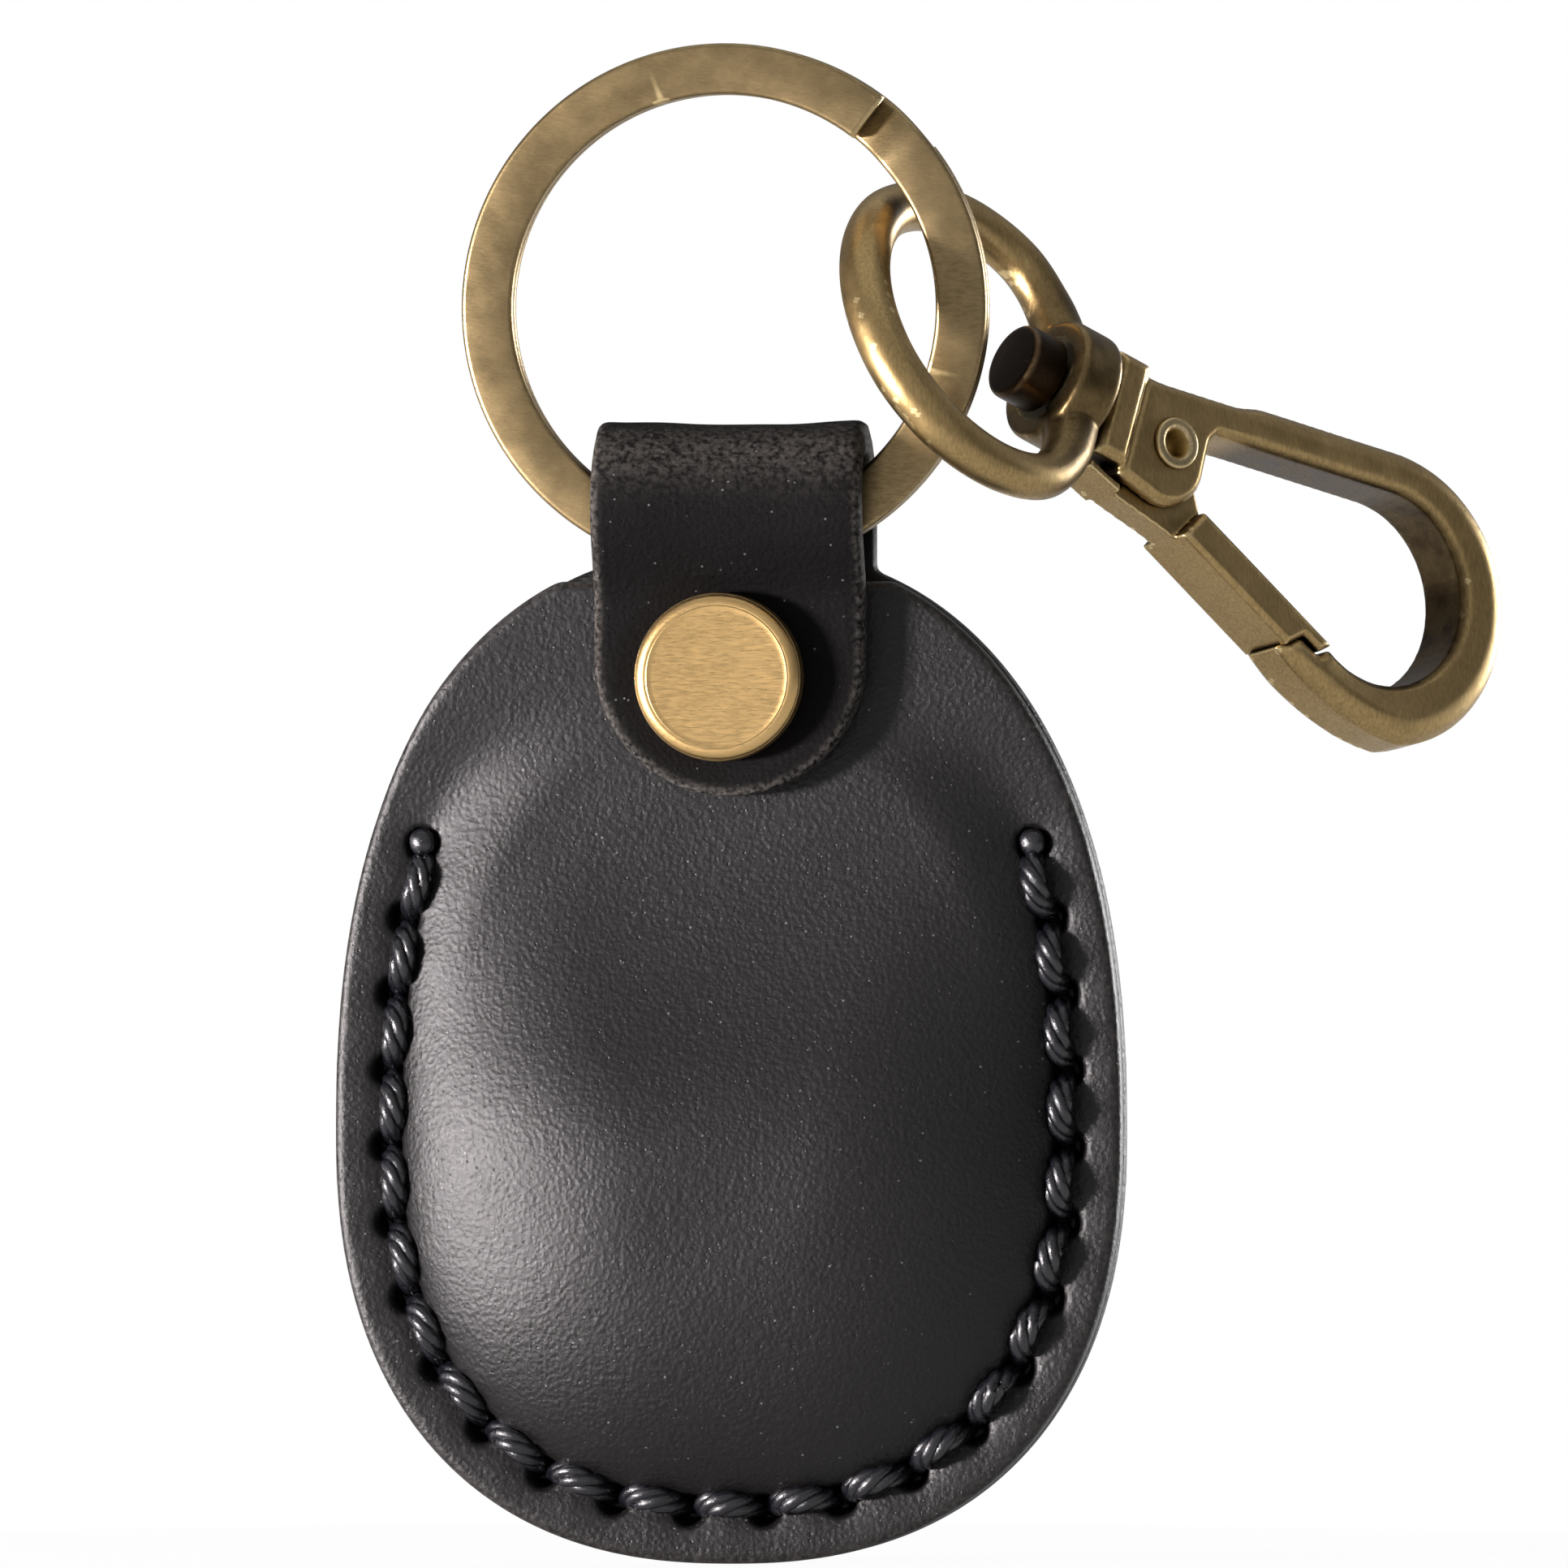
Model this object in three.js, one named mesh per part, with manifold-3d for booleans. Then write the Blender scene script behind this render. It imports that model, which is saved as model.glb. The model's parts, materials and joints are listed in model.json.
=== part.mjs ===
// Leather pick holder on a key ring with a swivel snap hook.
// Millimetres, +Z up towards the key ring, front face towards -Y, +X to the right seen from the front.
// The origin is on the back face of the back panel, at the pocket's widest point.

import * as THREE from "three";
import { mergeVertices } from "three/addons/utils/BufferGeometryUtils.js";
import Module from "manifold-3d";

const wasm = await Module();
wasm.setup();

// ---------------------------------------------------------------- driving dimensions

const LEATHER = 2.0; // thickness of every leather layer
const GLUE = 0.1; // glue line between the panels
const HALF_WIDTH = 24.0; // pocket outline, half its greatest width
const TOP_HEIGHT = 35.4; // origin to the apex of the outline
const BOTTOM_HEIGHT = 26.2; // origin to the foot of the outline
const ROUNDNESS = 2.35; // exponent of the outline, 2 is an ellipse
const FRONT_TOP = 33.3; // the front panel is cut straight here, clear of the key ring

const DOME_RISE = 5.4; // how far the moulded front panel stands away from the back panel
const DOME_START = 4.1; // distance from the edge at which the moulding begins
const DOME_RUN = 13.0; // distance over which it rises
const MOUTH_GAP = 1.2; // opening between the panels at the rivet and the mouth

const STITCH_INSET = 3.2; // stitch line to the edge
const STITCH_COUNT = 24; // punched holes
const STITCH_TOP = 17.5; // height of the first and last hole
const STITCH_HOLE_R = 1.0;
const GROOVE_R = 2.2; // the stitches lie in a shallow round-bottomed groove
const GROOVE_DEPTH = 0.35;
const THREAD_R = 0.65;
const THREAD_LIFT = 0.6; // thread centre line above the leather
const THREAD_DIP = 0.2; // the same in the holes, below the leather

const STRAP_HALF = 8.25; // strap half width
const STRAP_SHIFT = 0.5; // the strap sits a little to the right of the pocket's middle
const FOLD_TOP = 42.8; // top of the folded strap
const FOLD_INNER_R = 2.8;
const FOLD_SPLIT = 0.3; // gap that stands for the living hinge of the fold
const FLAP_BEND = [34.9, 32.3]; // heights between which the flap comes in from the loop to the pocket

const RIVET_Z = 27.5;
const CAP_R = 5.0;
const CAP_THICK = 1.8;
const POST_R = 2.0;
const POST_BORE_R = 1.5;
const POST_TIP = 1.0; // how far the post reaches into the front panel
const SCREW_R = 1.2;
const SCREW_GRIP = 1.5; // length of screw inside the post
const SCREW_HEAD_R = 4.0;
const SCREW_HEAD = 1.0;

const RING_OUTER_R = 16.0;
const RING_INNER_R = 12.9;
const RING_THICK = 2.3; // both coils together
const COIL_GAP = 0.12;
const RING_Z = 49.85; // height of the ring's centre
const JOGGLE_AT = 46; // degrees up from +X at which the coils cross over
const JOGGLE_WIDE = 13; // degrees

// Snap hook, in its own frame: x from the bail to the hook's end, front towards -y, back bar towards +z,
// gate pivot at 0.
const HOOK_PIVOT = [24.9, 4.5, 41.3]; // gate pivot in the part's frame
const HOOK_YAW = 40;
const HOOK_PITCH = 24;
const HOOK_ROLL = -10.5;
const AXLE_Z = 0.9; // the swivel pin lies this far above the gate pivot
const BAIL_ROLL = -27; // bail against the hook, about the swivel pin
const HOOK_THICK = 4.8;
const EDGE = 0.45; // bevel of the cast edges
// The bow: outer arc down to an angle of `end`, then a bend into the nose; and the inner arc.
const BOW = { x: 18.1, z: -1.9, outer: 8.65, end: -65, bend: [17.6, -10.5] };
const EYE = { x: 17.65, z: -1.55, r: 6.1 };
const GATE_ANGLE = 18.8; // gate below the x axis, degrees
const GATE_OUT = 3.95; // gate's outer and inner faces, measured square to it from the pivot
const GATE_IN = 1.65;
const GATE_START = 3.9;
const GATE_END = 14.4; // along the gate
const LAP_END = 16.3; // end of the gate's inner finger
const LAP_LEVEL = 2.6;
const FIT = 0.15; // play between the gate and the nose
const END_SLANT = 0.5; // the lapped ends lean back this much for each unit outwards, so the gate can swing
// Back bar. It rises by `tilt` degrees towards the bow, which puts the bow's end in line with the swivel pin.
const SPINE = { from: [-1.6, 3.4], collarZ: 3.3, innerFrom: [3.1, 2.05], tilt: 10 };
const CHEEK = { x: -0.1, z: -1.05, r: 2.85, notch: [2.65, 1.35], collarZ: -3.4 }; // round foot of the cheeks
const CHEEK_SLOT = 2.5; // width of the slot that holds the gate's knuckle
const CHEEK_SLOT_FROM = -2.3; // end of that slot next to the collar
const PIVOT_R = 1.1;

const WIRE_R = 1.55; // bail wire
// One side of the bail's bow, as x and z from the boss outwards, and the x of its far end.
const BAIL_SIDE = [
  [-6.9, 3.0], [-7.9, 6.4], [-10.0, 9.1], [-13.6, 10.2], [-17.4, 9.5], [-20.6, 7.1], [-22.4, 3.8],
];
const BAIL_END = -23.0;
const BOSS = { from: -8.75, to: -5.7, r: 3.9, bore: 1.42 };
const COLLAR = { from: -5.4, to: -3.0, bottom: -2.9, top: 3.9, thick: 5.4 };
const HEEL = { tip: [-5.1, -3.2], inner: [-3.4, -3.7], bend: -4.45, half: 1.7, thick: 0.5 }; // thumb lever
const PIN = { r: 1.25, headR: 2.4, headFrom: -11.4, headTo: -8.95, tip: -3.6 };

// ---------------------------------------------------------------- materials

const metal = (color, roughness) =>
  new THREE.MeshStandardMaterial({ color, roughness, metalness: 1 });
const leather = new THREE.MeshStandardMaterial({ color: 0x262326, roughness: 0.55, metalness: 0 });
const thread = new THREE.MeshStandardMaterial({ color: 0x0c0c10, roughness: 0.3, metalness: 0 });
const polishedBrass = metal(0xd6b06c, 0.28);
const antiqueBrass = metal(0x8a7547, 0.38);
const darkBrass = metal(0x4a3c26, 0.45);
const springSteel = metal(0x9a9a98, 0.3);

// ---------------------------------------------------------------- helpers

const deg = THREE.MathUtils.degToRad;
const mix = THREE.MathUtils.lerp;
const ease = THREE.MathUtils.smoothstep;

// A closed geometry as a manifold-3d solid.
function solid(geometry) {
  const bare = geometry.index ? geometry.toNonIndexed() : geometry.clone();
  bare.deleteAttribute("normal");
  bare.deleteAttribute("uv");
  const merged = mergeVertices(bare, 1e-4);
  const vertProperties = new Float32Array(merged.attributes.position.array);
  const triVerts = new Uint32Array(merged.index.array);
  const made = new wasm.Manifold(new wasm.Mesh({ numProp: 3, vertProperties, triVerts }));
  if (made.volume() > 0) return made;
  for (let i = 0; i < triVerts.length; i += 3) {
    [triVerts[i + 1], triVerts[i + 2]] = [triVerts[i + 2], triVerts[i + 1]];
  }
  return new wasm.Manifold(new wasm.Mesh({ numProp: 3, vertProperties, triVerts }));
}

function mesh(name, body, material) {
  const { numProp, vertProperties, triVerts } = body.getMesh();
  const positions = new Float32Array((vertProperties.length / numProp) * 3);
  for (let i = 0; i < positions.length / 3; i++) {
    for (let k = 0; k < 3; k++) positions[i * 3 + k] = vertProperties[i * numProp + k];
  }
  const geometry = new THREE.BufferGeometry();
  geometry.setAttribute("position", new THREE.BufferAttribute(positions, 3));
  geometry.setIndex(new THREE.BufferAttribute(new Uint32Array(triVerts), 1));
  geometry.computeVertexNormals();
  const made = new THREE.Mesh(geometry, material);
  made.name = name;
  return made;
}

const union = (bodies) => bodies.reduce((sum, body) => sum.add(body));
const cutAll = (body, cutters) => cutters.reduce((left, cutter) => left.subtract(cutter), body);

// A shape drawn in x and z, standing between two y values, with an optional bevel inside that thickness.
function plate(shape, yBack, yFront, bevel = 0, curveSegments = 12) {
  const depth = yBack - yFront - 2 * bevel;
  const geometry = new THREE.ExtrudeGeometry(shape, {
    depth,
    curveSegments,
    bevelEnabled: bevel > 0,
    bevelThickness: bevel,
    bevelSize: bevel,
    bevelOffset: -bevel,
    bevelSegments: 1,
  });
  return solid(geometry.rotateX(Math.PI / 2).translate(0, yBack - bevel, 0));
}

// A shape drawn in y and z, running along x.
function beam(shape, xFrom, xTo, curveSegments = 12) {
  const options = { depth: xTo - xFrom, bevelEnabled: false, curveSegments };
  const geometry = new THREE.ExtrudeGeometry(shape, options);
  const turn = new THREE.Matrix4().makeBasis(
    new THREE.Vector3(0, 1, 0),
    new THREE.Vector3(0, 0, 1),
    new THREE.Vector3(1, 0, 0),
  );
  return solid(geometry.applyMatrix4(turn).translate(xFrom, 0, 0));
}

// A turned piece on an axis along y through (x, z).
// The profile holds [radius, y] and starts and ends on the axis.
function turnedY(profile, x, z, segments = 24) {
  const points = profile.map(([r, y]) => new THREE.Vector2(r, y));
  return solid(new THREE.LatheGeometry(points, segments).translate(x, 0, z));
}

// The same on the x axis, with [radius, x].
function turnedX(profile, segments = 24) {
  const points = profile.map(([r, x]) => new THREE.Vector2(r, x));
  return solid(new THREE.LatheGeometry(points, segments).rotateZ(-Math.PI / 2));
}

const rodY = (r, yFrom, yTo, x, z, segments = 24) =>
  turnedY([[0, yFrom], [r, yFrom], [r, yTo], [0, yTo]], x, z, segments);

function box(low, high) {
  const size = high.map((value, i) => value - low[i]);
  const middle = high.map((value, i) => (value + low[i]) / 2);
  return solid(new THREE.BoxGeometry(...size).translate(...middle));
}

function circle(radius, corners) {
  const points = [];
  for (let i = 0; i < corners; i++) {
    const turn = (i / corners) * 2 * Math.PI;
    points.push(new THREE.Vector2(radius * Math.cos(turn), radius * Math.sin(turn)));
  }
  return new THREE.Shape(points);
}

function tube(points, radius, steps, corners) {
  const path = new THREE.CatmullRomCurve3(points, false, "centripetal");
  const options = { steps, extrudePath: path, bevelEnabled: false };
  return solid(new THREE.ExtrudeGeometry(circle(radius, corners), options));
}

// ---------------------------------------------------------------- pocket

// A point of the egg-shaped outline. t runs anticlockwise from +X as seen from the front.
function outline(t, share = 1) {
  const c = Math.cos(t);
  const s = Math.sin(t);
  const power = 2 / ROUNDNESS;
  const x = HALF_WIDTH * Math.sign(c) * Math.abs(c) ** power;
  const z = (s > 0 ? TOP_HEIGHT : BOTTOM_HEIGHT) * Math.sign(s) * Math.abs(s) ** power;
  return new THREE.Vector2(x * share, z * share);
}

// Distance from the outline, close enough for placing the moulding.
function depthInside(x, z) {
  const height = z > 0 ? TOP_HEIGHT : BOTTOM_HEIGHT;
  const across = Math.abs(x / HALF_WIDTH) ** ROUNDNESS;
  const share = (across + Math.abs(z / height) ** ROUNDNESS) ** (1 / ROUNDNESS);
  return (1 - share) * HALF_WIDTH;
}

// Free space between the two panels at a point: the moulded dome, easing into the flat mouth.
function pocketGap(x, z) {
  const inside = depthInside(x, z);
  const climb = THREE.MathUtils.clamp((inside - DOME_START) / DOME_RUN, 0, 1);
  const dome = DOME_RISE * Math.sin((climb * Math.PI) / 2);
  const towardsMouth = ease(z, 5, 19.5);
  const edgeOpening = ease(z, STITCH_TOP + 1, STITCH_TOP + 10);
  const mouth = MOUTH_GAP * mix(edgeOpening, towardsMouth, ease(inside, 2.5, 7.5));
  return dome * (1 - towardsMouth) + mouth;
}

function outlineShape(cutTop) {
  const points = [];
  const corners = 60;
  for (let i = 0; i < corners; i++) {
    const p = outline((i / corners) * 2 * Math.PI);
    points.push(new THREE.Vector2(p.x, Math.min(p.y, cutTop)));
  }
  return new THREE.Shape(points);
}

// Centres of the stitch holes, evenly spaced along a line inside the outline, from top left to top right.
function stitchHoles() {
  const line = [];
  for (let i = 0; i <= 400; i++) {
    const t = -Math.PI / 2 + (i / 400 - 0.5) * 2 * Math.PI * 0.75;
    const here = outline(t);
    const ahead = outline(t + 1e-3);
    const along = ahead.sub(here.clone()).normalize();
    line.push(new THREE.Vector3(here.x - along.y * STITCH_INSET, here.y + along.x * STITCH_INSET, 0));
  }
  const kept = line.filter((p) => p.y <= STITCH_TOP);
  return new THREE.CatmullRomCurve3(kept).getSpacedPoints(STITCH_COUNT - 1);
}

const holes = stitchHoles();

function stitchCutters(yFrom, yTo) {
  return holes.map((p) => rodY(STITCH_HOLE_R, yFrom, yTo, p.x, p.y, 8));
}

// Cutter for the stitches' groove in the face at a given y. side is +1 for a face towards +Y, or -1.
function stitchGroove(surface, side) {
  const y = surface + side * (GROOVE_R - GROOVE_DEPTH);
  const line = holes.map((p) => new THREE.Vector3(p.x, y, p.y));
  const last = line.length - 1;
  const before = line[0].clone().lerp(line[1], -0.35);
  const after = line[last].clone().lerp(line[last - 1], -0.35);
  return tube([before, ...line, after], GROOVE_R, 70, 12);
}

// The strap seen from the front: straight sides, round lower end, slightly rounded upper corners.
function strapOutline(bottom, roundEnd) {
  const corner = 0.9;
  const left = STRAP_SHIFT - STRAP_HALF;
  const right = STRAP_SHIFT + STRAP_HALF;
  const shape = new THREE.Shape();
  if (roundEnd) {
    const centre = bottom + STRAP_HALF;
    shape.moveTo(left, centre);
    shape.absarc(STRAP_SHIFT, centre, STRAP_HALF, Math.PI, 2 * Math.PI, false);
  } else {
    shape.moveTo(left, bottom);
    shape.lineTo(right, bottom);
  }
  shape.lineTo(right, FOLD_TOP - corner);
  shape.lineTo(right - corner * 0.3, FOLD_TOP - corner * 0.3);
  shape.lineTo(right - corner, FOLD_TOP + 0.01);
  shape.lineTo(left + corner, FOLD_TOP + 0.01);
  shape.lineTo(left + corner * 0.3, FOLD_TOP - corner * 0.3);
  shape.lineTo(left, FOLD_TOP - corner);
  shape.closePath();
  return shape;
}

const foldY = -LEATHER - FOLD_INNER_R; // the fold's centre, level with the key ring
const foldOuterR = FOLD_INNER_R + LEATHER;
const foldZ = FOLD_TOP - foldOuterR;
const flapInnerY = -2 * LEATHER - GLUE - MOUTH_GAP - 0.1; // flap's inner face where it lies on the pocket
const frontRim = -2 * LEATHER - GLUE; // front face of the front panel where it isn't moulded
const frontAll = -20; // well in front of the leather

function backPanel() {
  const egg = plate(outlineShape(TOP_HEIGHT), 0, -LEATHER);
  const profile = new THREE.Shape();
  profile.moveTo(0, 20);
  profile.lineTo(0, foldZ);
  profile.absarc(foldY, foldZ, foldOuterR, 0, Math.PI / 2, false);
  profile.absarc(foldY, foldZ, FOLD_INNER_R, Math.PI / 2, 0, true);
  profile.lineTo(-LEATHER, 20);
  profile.closePath();
  const wide = beam(profile, -20, 20, 6);
  const strap = wide.intersect(plate(strapOutline(20, false), 5, frontAll));
  const hingeGap = box([-20, foldY - 5, foldZ], [20, foldY + FOLD_SPLIT / 2, FOLD_TOP + 2]);
  const rivetHole = rodY(SCREW_R + 0.3, -LEATHER - 1, 1, 0, RIVET_Z, 20);
  const cutters = [hingeGap, rivetHole, stitchGroove(0, 1), ...stitchCutters(-LEATHER - 1, 1)];
  return cutAll(egg.add(strap), cutters);
}

function strapFlap() {
  const [bendTop, bendEnd] = FLAP_BEND;
  const bendHeight = bendTop - bendEnd;
  const loopInner = foldY - FOLD_INNER_R;
  const profile = new THREE.Shape();
  profile.moveTo(foldY, FOLD_TOP);
  profile.absarc(foldY, foldZ, foldOuterR, Math.PI / 2, Math.PI, false);
  profile.lineTo(loopInner - LEATHER, bendTop);
  const outerY = flapInnerY - LEATHER;
  profile.bezierCurveTo(
    loopInner - LEATHER, bendTop - bendHeight / 2, outerY, bendEnd + bendHeight / 2, outerY, bendEnd,
  );
  profile.lineTo(outerY, 15);
  profile.lineTo(flapInnerY, 15);
  profile.lineTo(flapInnerY, bendEnd);
  profile.bezierCurveTo(
    flapInnerY, bendEnd + bendHeight / 2, loopInner, bendTop - bendHeight / 2, loopInner, bendTop,
  );
  profile.lineTo(loopInner, foldZ);
  profile.absarc(foldY, foldZ, FOLD_INNER_R, Math.PI, Math.PI / 2, true);
  profile.closePath();
  const wide = beam(profile, -20, 20, 6);
  const flap = wide.intersect(plate(strapOutline(20.3, true), 5, frontAll, 0, 10));
  const hingeGap = box([-20, foldY - FOLD_SPLIT / 2, foldZ], [20, foldY + 5, FOLD_TOP + 2]);
  return cutAll(flap, [hingeGap, rodY(POST_R + 0.2, frontAll, 0, 0, RIVET_Z)]);
}

// The moulded front panel: a lathed disc of two skins whose vertices are moved to the outline and the dome.
function frontPanel() {
  const shares = [0.2, 0.4, 0.55, 0.67, 0.76, 0.83, 0.91, 1];
  const inner = shares.map((share) => new THREE.Vector2(share, 0));
  const outer = shares.map((share) => new THREE.Vector2(share, 1)).reverse();
  const ends = [new THREE.Vector2(0, 0), new THREE.Vector2(0, 1)];
  const disc = new THREE.LatheGeometry([ends[0], ...inner, ...outer, ends[1]], 52);
  const at = disc.attributes.position;
  for (let i = 0; i < at.count; i++) {
    const share = Math.hypot(at.getX(i), at.getZ(i));
    const skin = at.getY(i);
    const p = outline(Math.atan2(at.getX(i), at.getZ(i)), share);
    const z = Math.min(p.y, FRONT_TOP);
    at.setXYZ(i, p.x, -LEATHER - GLUE - pocketGap(p.x, z) - skin * LEATHER, z);
  }
  const rivetHole = rodY(POST_R + 0.4, frontAll, 0, 0, RIVET_Z, 20);
  const cutters = [rivetHole, stitchGroove(frontRim, -1), ...stitchCutters(frontRim - 1.5, -1)];
  return cutAll(solid(disc), cutters);
}

// One saddle-stitched thread: between each pair of holes it runs over the front and over the back.
function stitchThread() {
  const hub = THREAD_R + 0.2;
  const runs = holes.map((p) => rodY(hub, frontRim - 0.35, 0.35, p.x, p.y, 8));
  for (let i = 0; i + 1 < holes.length; i++) {
    for (const [surface, side] of [[frontRim, -1], [0, 1]]) {
      const at = (share, lift) => {
        const p = holes[i].clone().lerp(holes[i + 1], share);
        return new THREE.Vector3(p.x, surface + side * lift, p.y);
      };
      const run = [at(0, -THREAD_DIP), at(0.2, THREAD_LIFT), at(0.8, THREAD_LIFT), at(1, -THREAD_DIP)];
      runs.push(tube(run, THREAD_R, 5, 5));
    }
  }
  return union(runs);
}

// ---------------------------------------------------------------- screw rivet

const capBack = flapInnerY - LEATHER - 0.1;

function rivetCap() {
  const face = capBack - CAP_THICK;
  const postEnd = -2 * LEATHER - MOUTH_GAP + POST_TIP;
  const boreEnd = postEnd - SCREW_GRIP - 0.5;
  return turnedY(
    [
      [0, face], [CAP_R - 0.7, face], [CAP_R - 0.2, face + 0.2], [CAP_R, face + 0.7], [CAP_R, capBack],
      [POST_R, capBack], [POST_R, postEnd], [POST_BORE_R, postEnd], [POST_BORE_R, boreEnd], [0, boreEnd],
    ],
    0, RIVET_Z, 32,
  );
}

// Pan-headed screw driven from the back, with a cross recess.
function rivetScrew() {
  const tip = -2 * LEATHER - MOUTH_GAP + POST_TIP - SCREW_GRIP;
  const seat = 0.05;
  const crown = seat + SCREW_HEAD;
  const blank = turnedY(
    [
      [0, crown], [SCREW_HEAD_R - 1, crown], [SCREW_HEAD_R, seat + 0.4], [SCREW_HEAD_R, seat],
      [SCREW_R, seat], [SCREW_R, tip + 0.3], [SCREW_R - 0.3, tip], [0, tip],
    ],
    0, RIVET_Z, 24,
  );
  const slotLong = 1.5;
  const slotHalf = 0.35;
  const slotFloor = crown - 0.8;
  const slots = [[slotLong, slotHalf], [slotHalf, slotLong]];
  return cutAll(
    blank,
    slots.map(([x, z]) => box([-x, slotFloor, RIVET_Z - z], [x, crown + 1, RIVET_Z + z])),
  );
}

// ---------------------------------------------------------------- key ring

// Flat wire wound into two coils. The wire crosses from the front coil to the back one in the joggle.
function keyRing() {
  const wireThick = (RING_THICK - COIL_GAP) / 2;
  const offset = (wireThick + COIL_GAP) / 2;
  const perTurn = 60;
  const span = 720 - JOGGLE_WIDE - 2;
  const steps = Math.round((perTurn * span) / 360);
  const section = [
    [RING_INNER_R, -0.5], [RING_OUTER_R, -0.5], [RING_OUTER_R, 0.5], [RING_INNER_R, 0.5],
  ];
  const positions = [];
  for (let i = 0; i <= steps; i++) {
    const travelled = (i / steps) * span;
    const turn = deg(JOGGLE_AT + JOGGLE_WIDE / 2 + travelled);
    const crossing = ease(travelled, 360 - JOGGLE_WIDE, 360);
    const y = foldY + mix(-offset, offset, crossing);
    for (const [r, across] of section) {
      positions.push(r * Math.cos(turn), y + across * wireThick, RING_Z + r * Math.sin(turn));
    }
  }
  const faces = [];
  for (let i = 0; i < steps; i++) {
    for (let k = 0; k < 4; k++) {
      const [a, b] = [i * 4 + k, i * 4 + ((k + 1) % 4)];
      faces.push(a, b, b + 4, a, b + 4, a + 4);
    }
  }
  const last = steps * 4;
  faces.push(0, 2, 1, 0, 3, 2, last, last + 1, last + 2, last, last + 2, last + 3);
  const geometry = new THREE.BufferGeometry();
  geometry.setAttribute("position", new THREE.BufferAttribute(new Float32Array(positions), 3));
  geometry.setIndex(faces);
  return solid(geometry);
}

// ---------------------------------------------------------------- snap hook, in its own frame

const gateTurn = deg(-GATE_ANGLE);
const GATE_OUTER_END = GATE_END - END_SLANT * (GATE_OUT - LAP_LEVEL);
const FINGER_OUTER_END = LAP_END - END_SLANT * (LAP_LEVEL - GATE_IN);

// A point given along the gate and square to it, outwards, in the hook's x and z.
function onGate(along, out) {
  return new THREE.Vector2(
    along * Math.cos(gateTurn) + out * Math.sin(gateTurn),
    along * Math.sin(gateTurn) - out * Math.cos(gateTurn),
  );
}

function hookBody() {
  const half = HOOK_THICK / 2;
  const shape = new THREE.Shape();
  const rootX = COLLAR.to - 0.2;
  shape.moveTo(rootX, SPINE.collarZ);
  shape.lineTo(...SPINE.from);
  const spineSquare = deg(90 + SPINE.tilt);
  shape.absarc(BOW.x, BOW.z, BOW.outer, spineSquare, deg(BOW.end), true);
  const lapIn = LAP_LEVEL + FIT;
  const noseTo = (p) => shape.lineTo(p.x, p.y);
  const noseOuter = onGate(GATE_OUTER_END + FIT, GATE_OUT);
  shape.quadraticCurveTo(...BOW.bend, noseOuter.x, noseOuter.y);
  noseTo(onGate(GATE_END + FIT, lapIn));
  noseTo(onGate(FINGER_OUTER_END + FIT, lapIn));
  const innerStart = onGate(LAP_END + FIT, GATE_IN + 0.2);
  const startTurn = Math.atan2(innerStart.y - EYE.z, innerStart.x - EYE.x);
  shape.absarc(EYE.x, EYE.z, EYE.r, startTurn, spineSquare, false);
  shape.lineTo(...SPINE.innerFrom);
  shape.lineTo(...CHEEK.notch);
  shape.absarc(CHEEK.x, CHEEK.z, CHEEK.r, 0, -Math.PI / 2, true);
  shape.lineTo(rootX, CHEEK.collarZ);
  shape.closePath();
  const casting = plate(shape, half, -half, EDGE, 14);
  const collar = plate(
    new THREE.Shape([
      new THREE.Vector2(COLLAR.from, COLLAR.bottom),
      new THREE.Vector2(COLLAR.to, COLLAR.bottom),
      new THREE.Vector2(COLLAR.to, COLLAR.top),
      new THREE.Vector2(COLLAR.from, COLLAR.top),
    ]),
    COLLAR.thick / 2, -COLLAR.thick / 2, 0.5,
  );
  const slot = box([CHEEK_SLOT_FROM, -CHEEK_SLOT / 2, -8], [3.3, CHEEK_SLOT / 2, 2.05]);
  const pivotHole = rodY(PIVOT_R + 0.04, -half - 1, half + 1, 0, 0);
  const pinBore = [[0, -7], [PIN.r + 0.04, -7], [PIN.r + 0.04, PIN.tip + 0.2], [0, PIN.tip + 0.2]];
  return cutAll(casting.add(collar), [slot, pivotHole, turnedX(pinBore).translate([0, 0, AXLE_Z])]);
}

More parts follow.
